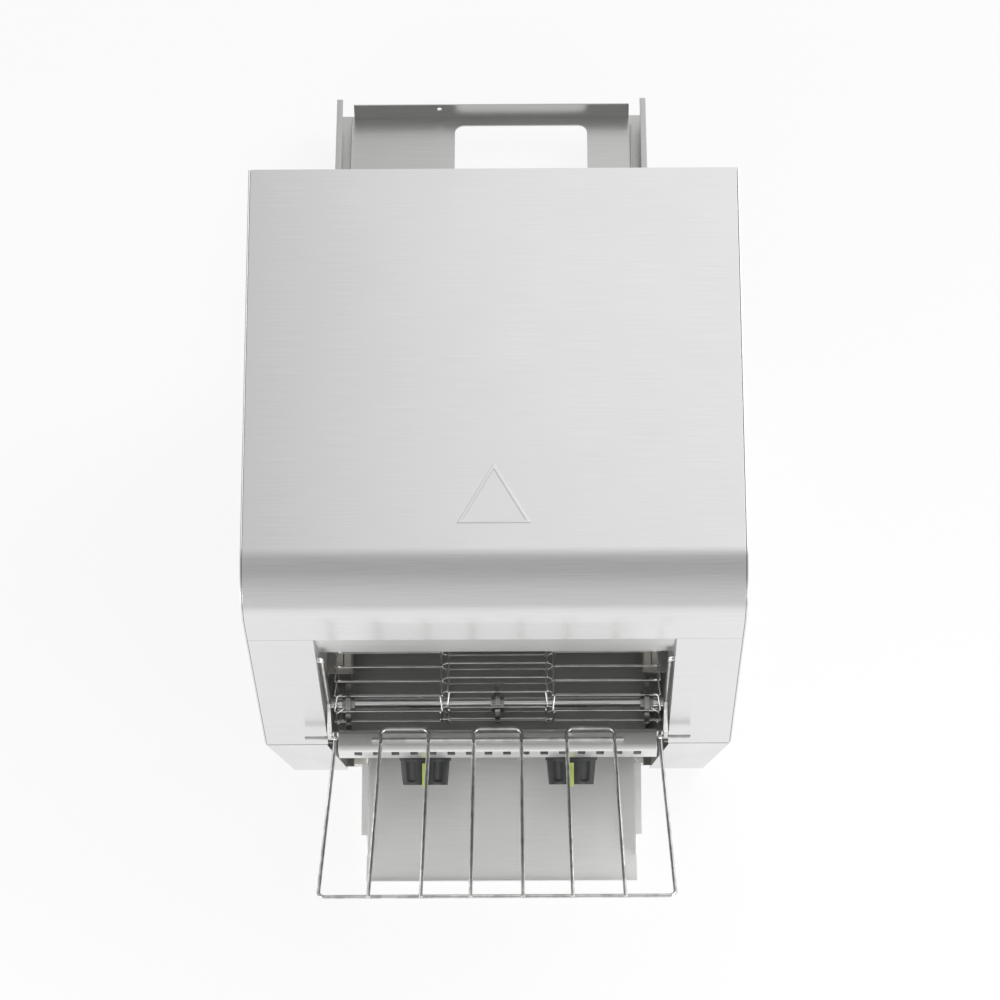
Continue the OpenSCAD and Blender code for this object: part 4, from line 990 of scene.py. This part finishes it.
@dataclass
class Controls:
    """Knobs with lime pointers, their panel with printed dial marks, and the bodies behind it."""

    knob_x: float = 57.75
    knob_y: float = -6.292
    knob_z: float = 58.0
    lean: float = 18.0
    sheet: float = 1.2
    dial_r: float = 22.8
    tick: float = 2.6
    ink: float = 0.03
    ink_lift: float = 0.02

    def build(self, frame: dict[str, Any]) -> None:
        """Builds its pieces."""
        Skin("control_panel", STEEL_SHADED, "casing_steel").build(frame)
        Skin("landing_plate", STEEL_MATT_PAINTED_LIGHT, "casing_steel").build(frame)
        for side in ("selector", "speed"):
            Skin(f"{side}_knob", KNOB_BLACK, "black_plastic", break_mm=0.35, shortest_mm=0.9, crease=28).build(frame)
            Skin(f"{side}_pointer", POINTER_LIME, "lime_plastic", break_mm=0.35, shortest_mm=0.6).build(frame)
            Skin(f"{side}_spindle", TURNED_STEEL_PAINTED_LIGHT, "shaft_steel", break_mm=0.0).build(frame)
        Skin("selector_switch", INNER_BLACK, "black_plastic", break_mm=0.6).build(frame)
        Skin("speed_control", INNER_BLACK, "black_plastic", break_mm=0.6).build(frame)
        self.dials()

    def on_panel(self, x: float) -> Matrix:
        """Frame on the leaning panel's front face at a knob's axis, with -Y out of the panel."""
        lean = Matrix.Rotation(math.radians(self.lean), 4, "X")
        middle = Matrix.Translation(Vector((x, FRONT_Y + self.knob_y, self.knob_z)) * MM)
        return middle @ lean @ Matrix.Translation((0, -(self.sheet / 2 + self.ink_lift) * MM, 0))

    def dials(self) -> None:
        """Printed marks round the knobs: four places on the selector, eleven on the speed control."""
        marks = []
        for x, angles, width in (
            (-self.knob_x, [90 * k for k in range(4)], 1.4),
            (self.knob_x, [-135 + 27 * k for k in range(11)], 0.9),
        ):
            for angle in angles:
                mark = bmesh.new()
                bmesh.ops.create_grid(mark, x_segments=1, y_segments=3, size=0.5)
                bmesh.ops.scale(mark, vec=(width * MM, self.tick * MM, 1), verts=mark.verts)
                bmesh.ops.solidify(mark, geom=mark.faces, thickness=self.ink * MM)
                bmesh.ops.translate(mark, vec=(0, self.dial_r * MM, 0), verts=mark.verts)
                spin = Matrix.Rotation(math.pi / 2, 4, "X") @ Matrix.Rotation(-math.radians(angle), 4, "Z")
                marks.append(moved_copy(mark, self.on_panel(x) @ spin))
                mark.free()
        whole = gather(marks)
        bmesh.ops.recalc_face_normals(whole, faces=whole.faces)
        add_piece("dial_marks", whole, "housing", INK)


@dataclass
class FeedRack:
    """The hinged wire rack and its hangers, swept from round wire with weld beads."""

    wire: float = 3.0
    sides: int = 16
    pivot_y: float = -6.5
    pivot_z: float = 104.0
    length: float = 180.0
    slope: float = 30.0
    rear_w: float = 256.6
    front_w: float = 271.0
    hairpin_w: float = 37.2
    hairpin_gap: float = 72.6
    tail: float = 12.0
    tail_y: float = -0.8
    rod_ahead: float = 8.0
    rod_past: float = 7.0
    landing_z: float = 104.0
    bend: float = 5.0
    bend_steps: int = 8
    seat: float = 0.3
    weld: float = 0.2
    bead: Point = (1.7, 1.0, 0.8)
    bead_in: float = 0.4
    bead_rise: float = 0.6
    eye_wire: float = 2.55
    leg_in: float = 0.8
    mouth_w: float = 268.0
    hanger_wire: float = 4.0
    hanger_y: float = 8.0
    hanger_lean: float = 4.0
    hanger_in: float = 5.0
    hanger_top: float = 244.0
    hanger_knee: float = 137.0
    peg: float = 17.0
    peg_tip: float = 0.4
    tip: float = 0.5

    def spot(self, x: float, y: float, z: float) -> Point:
        """Front-frame millimetres to row-frame metres."""
        return x * MM, (y + FRONT_Y) * MM, z * MM

    def plane(self, x: float, ahead: float, above: float = 0.0) -> Point:
        """A point in the rack's plane: x across, ahead of the pivots and above the plane."""
        lean = math.radians(self.slope)
        y = self.pivot_y - ahead * math.cos(lean) - above * math.sin(lean)
        return self.spot(x, y, self.pivot_z + ahead * math.sin(lean) + above * math.cos(lean))

    def build(self) -> None:
        """Builds its pieces."""
        x = (self.rear_w - self.wire) / 2
        spread = (self.front_w - self.wire) / (self.rear_w - self.wire)
        bore = self.wire + 2 * self.seat
        # The frame's legs run into the eyes' wire
        start = bore / 2 + self.eye_wire - self.leg_in
        legs = [(-x, start), (-x * spread, self.length), (x * spread, self.length), (x, start)]
        parts = [self.bent([self.plane(*leg) for leg in legs], self.wire)]
        tail_z = self.landing_z + self.seat + 1.5 * self.wire - self.weld
        beads = []
        for k in (-1, 0, 1):
            middle, half = k * self.hairpin_gap, self.hairpin_w / 2
            ends = [self.plane((middle + s * half) * spread, self.length, self.wire - self.weld) for s in (-1, 1)]
            back = [self.spot(middle + s * half, self.tail_y, tail_z) for s in (-1, 1)]
            knee = [self.spot(middle + s * half, self.tail_y - self.tail, tail_z) for s in (-1, 1)]
            parts.append(self.bent([ends[0], knee[0], back[0], back[1], knee[1], ends[1]], self.wire, self.tip))
            for s in (-1, 1):
                top = (self.length - self.bead_in, self.bead_rise * self.wire)
                beads.append(self.plane((middle + s * half) * spread, *top))
                beads.append(self.spot(middle + s * half, self.tail_y - self.rod_ahead, tail_z - self.wire / 2))
        rod_x = self.hairpin_gap + self.hairpin_w / 2 + self.rod_past
        rod_z = self.landing_z + self.seat + self.wire / 2
        rod = [self.spot(s * rod_x, self.tail_y - self.rod_ahead, rod_z) for s in (-1, 1)]
        parts.append(self.bent(rod, self.wire, self.tip))
        parts += [self.eye(s * x, (bore + self.eye_wire) / 2) for s in (-1, 1)]
        for bead in beads:
            lump = bmesh.new()
            bmesh.ops.create_icosphere(lump, subdivisions=2, radius=MM)
            bmesh.ops.scale(lump, vec=self.bead, verts=lump.verts)
            bmesh.ops.translate(lump, vec=bead, verts=lump.verts)
            parts.append(lump)
        rack = gather(parts)
        smooth_by_angle(rack, 60)
        add_piece("rack_wires", rack, "rack", WIRE_BRIGHT, ("feed_rack",))
        for side, name in ((-1, "left"), (1, "right")):
            self.hanger(side, name, x)

    def bent(self, path: Sequence[Point], wire: float, tip: float = 0.0) -> bmesh.types.BMesh:
        """A wire bent round a path's corners; the path is in metres, the diameter and the ends' rounding in mm."""
        return sweep(rounded(path, self.bend * MM, self.bend_steps), wire / 2 * MM, self.sides, tip * MM)

    def eye(self, x: float, ring: float) -> bmesh.types.BMesh:
        """An eye of bent wire round a peg, with its ring's radius in millimetres."""
        first = Matrix.Translation((0, 0, ring * MM)) @ Matrix.Rotation(math.pi / 2, 4, "X")
        mesh = wound_wire(self.eye_wire, 12, first, angle=2 * math.pi, steps=28, use_merge=True)
        bmesh.ops.translate(mesh, vec=self.spot(x, self.pivot_y, self.pivot_z), verts=mesh.verts)
        return mesh

    def hanger(self, side: int, name: str, eye_x: float) -> None:
        """One hanger: an arm from the chassis plate's hole to the peg that holds the rack's eye."""
        x = self.mouth_w / 2 - self.wire
        arm = [
            self.spot(side * (self.mouth_w / 2 + self.hanger_in), self.hanger_y, self.hanger_top),
            self.spot(side * x, self.hanger_y, self.hanger_top),
            self.spot(side * x, self.hanger_y + self.hanger_lean, self.hanger_knee),
            # The arm's end lies in the peg, a little off its axis
            self.spot(side * x, self.pivot_y + 0.4, self.pivot_z + 0.6),
        ]
        peg_in = eye_x - self.wire / 2 - self.seat
        peg = [self.spot(side * end, self.pivot_y, self.pivot_z) for end in (peg_in, self.mouth_w / 2 + self.peg)]
        whole = gather([self.bent(arm, self.hanger_wire * INSIDE), self.bent(peg, self.wire, self.peg_tip)])
        smooth_by_angle(whole, 60)
        add_piece(f"{name}_hanger_wire", whole, "housing", WIRE_BRIGHT, (f"{name}_rack_hanger",))


@dataclass
class Trays:
    """Front and rear trays with their slides and rails."""

    def build(self, frame: dict[str, Any]) -> None:
        """Builds its pieces."""
        Skin("front_tray", STEEL_TRAY_PAINTED_LIGHT, "casing_steel", break_mm=0.5).build(frame)
        Skin("rear_tray", STEEL_SHADED, "casing_steel").build(frame)
        for side in ("left", "right"):
            Skin(f"{side}_rear_rail", STEEL_RAIL_PAINTED_SHADE, "casing_steel").build(frame)
        Skin("tray_slides", NYLON, "ivory_plastic", break_mm=0.5).build(frame)


@dataclass
class Studio:
    """White floor, soft light and the camera."""

    camera_at: Point = (0.02761, -1.27723, 3.23491)
    camera_turn: Point = (21.9326, 0.5056, -0.1018)
    lens: float = 152.02
    floor_half: float = 3.0
    pool: tuple[float, float] = (0.3, 3.0)
    floor_white: float = 1.06
    floor_share: float = 0.78
    floor_grey: float = 0.8
    rear: tuple[float, float] = (0.0, 0.37)
    right: tuple[float, float] = (-0.075, -0.04)
    left_share: float = 0.05
    glow: tuple[float, float] = (0.43, 1.08)
    front: tuple[float, float] = (-0.5, -1.0)
    front_glow: float = 0.25
    key_at: Point = (1.9, 1.0, 2.0)
    key_aim: Point = (0.0, 0.0, 0.2)
    key_size: tuple[float, float] = (1.5, 1.5)
    key_power: float = 18.0
    card_at: Point = (1.0, -1.0, 0.4)
    card_aim: Point = (0.0, -0.2, 0.12)
    card_size: tuple[float, float] = (0.8, 0.6)
    card_power: float = 6.5

    def build(self) -> None:
        """Builds the stage, the lights, the world and the camera."""
        self.camera()
        self.floor()
        self.world()
        self.lamp("key_softbox", self.key_at, self.key_aim, self.key_size, self.key_power)
        # Low cards to both sides of the front throw light into the mouth, outside the bend's mirror
        for side, name in ((-1, "left"), (1, "right")):
            place = (side * self.card_at[0], *self.card_at[1:])
            self.lamp(f"{name}_card", place, self.card_aim, self.card_size, self.card_power)
        bpy.context.scene.view_settings.view_transform = "Standard"

    def camera(self) -> None:
        """The camera, high over the front and tilted forward."""
        data = bpy.data.cameras.new("camera")
        data.lens = self.lens
        data.sensor_width = 36.0
        data.clip_start, data.clip_end = 0.05, 50.0
        camera = new_object("camera", data)
        camera.location = self.camera_at
        camera.rotation_euler = [math.radians(a) for a in self.camera_turn]
        bpy.context.scene.camera = camera

    def floor(self) -> None:
        """A white floor that keeps the object's soft shadow."""
        mesh = bmesh.new()
        bmesh.ops.create_grid(mesh, x_segments=2, y_segments=2, size=self.floor_half)
        data = mesh_data("floor", mesh)
        floor = new_object("floor", data)
        floor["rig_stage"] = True
        material = bpy.data.materials.new("white_floor")
        tree = empty_tree(material)
        rays = add_node(tree, "ShaderNodeLightPath").outputs
        place = add_node(tree, "ShaderNodeTexCoord").outputs["Object"]
        reach = add_node(tree, "ShaderNodeVectorMath", {"operation": "LENGTH"}, {0: place}).outputs["Value"]
        # The lit pool fades out towards the studio's edge, and metal shows that
        pool = add_node(tree, "ShaderNodeMapRange", SMOOTH, span(reach, *self.pool, 1.0, 0.0)).outputs[0]
        seen = rays["Is Glossy Ray"]
        for operation, other in (
            ("MAXIMUM", rays["Is Transmission Ray"]),
            ("MULTIPLY", pool),
            ("MAXIMUM", rays["Is Camera Ray"]),
            ("MULTIPLY", self.floor_share),
        ):
            seen = add_node(tree, "ShaderNodeMath", {"operation": operation}, {0: seen, 1: other}).outputs[0]
        grey = (self.floor_grey,) * 3 + (1.0,)
        matt = add_node(tree, "ShaderNodeBsdfDiffuse", inputs={"Color": grey})
        white = add_node(tree, "ShaderNodeEmission", inputs={"Color": OPAQUE_WHITE, "Strength": self.floor_white})
        mixed = add_node(tree, "ShaderNodeMixShader", inputs={0: seen, 1: matt.outputs[0], 2: white.outputs[0]})
        add_node(tree, "ShaderNodeOutputMaterial", inputs={"Surface": mixed.outputs[0]})
        data.materials.append(material)

    def world(self) -> None:
        """Studio surroundings: a softbox over the rear, dimmer towards the left, and a faint light in front."""
        world = bpy.data.worlds.new("studio")
        bpy.context.scene.world = world
        tree = empty_tree(world)
        way = add_node(tree, "ShaderNodeTexCoord").outputs["Generated"]
        x, y, _ = add_node(tree, "ShaderNodeSeparateXYZ", inputs={0: way}).outputs
        rear = add_node(tree, "ShaderNodeMapRange", SMOOTH, span(y, *self.rear, 0.0, 1.0))
        right = add_node(tree, "ShaderNodeMapRange", SMOOTH, span(x, *self.right, self.left_share, 1.0))
        lit = {0: rear.outputs[0], 1: right.outputs[0]}
        both = add_node(tree, "ShaderNodeMath", {"operation": "MULTIPLY"}, lit).outputs[0]
        glow = add_node(tree, "ShaderNodeMapRange", inputs=span(both, 0.0, 1.0, *self.glow))
        front = add_node(tree, "ShaderNodeMapRange", inputs=span(y, *self.front, 0.0, self.front_glow))
        sides = {0: glow.outputs[0], 1: front.outputs[0]}
        total = add_node(tree, "ShaderNodeMath", {"operation": "ADD"}, sides).outputs[0]
        seen = add_node(tree, "ShaderNodeLightPath").outputs["Is Camera Ray"]
        surround = add_node(tree, "ShaderNodeBackground", inputs={"Color": OPAQUE_WHITE, "Strength": total})
        white = add_node(tree, "ShaderNodeBackground", inputs={"Color": OPAQUE_WHITE, "Strength": 1.0})
        mixed = add_node(tree, "ShaderNodeMixShader", inputs={0: seen, 1: surround.outputs[0], 2: white.outputs[0]})
        add_node(tree, "ShaderNodeOutputWorld", inputs={"Surface": mixed.outputs[0]})

    def lamp(self, name: str, at: Point, aim: Point, size: tuple[float, float], power: float) -> None:
        """A rectangular softbox at a place, turned to its aim; its size is in metres, its power in watts."""
        data = bpy.data.lights.new(name, "AREA")
        data.shape = "RECTANGLE"
        data.size, data.size_y = size
        data.energy = power
        lamp = new_object(name, data)
        lamp.location = at
        lamp.rotation_euler = (Vector(aim) - Vector(at)).to_track_quat("-Z", "Y").to_euler()


def corners(box: tuple[Vector, Vector]) -> list[list[float]]:
    """A box as plain lists of numbers."""
    return [list(map(float, corner)) for corner in box]


def main() -> None:
    """Builds the toaster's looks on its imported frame."""
    logging.basicConfig(level=logging.INFO, format="%(message)s")
    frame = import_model()
    solids = corners(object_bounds())
    Studio().build()
    Housing().build(frame)
    WireBelt().build(frame)
    Heaters().build(frame)
    Controls().build(frame)
    FeedRack().build()
    Trays().build(frame)
    {"solids": solids, "looks": corners(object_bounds())}


if __name__ == "__main__":
    main()
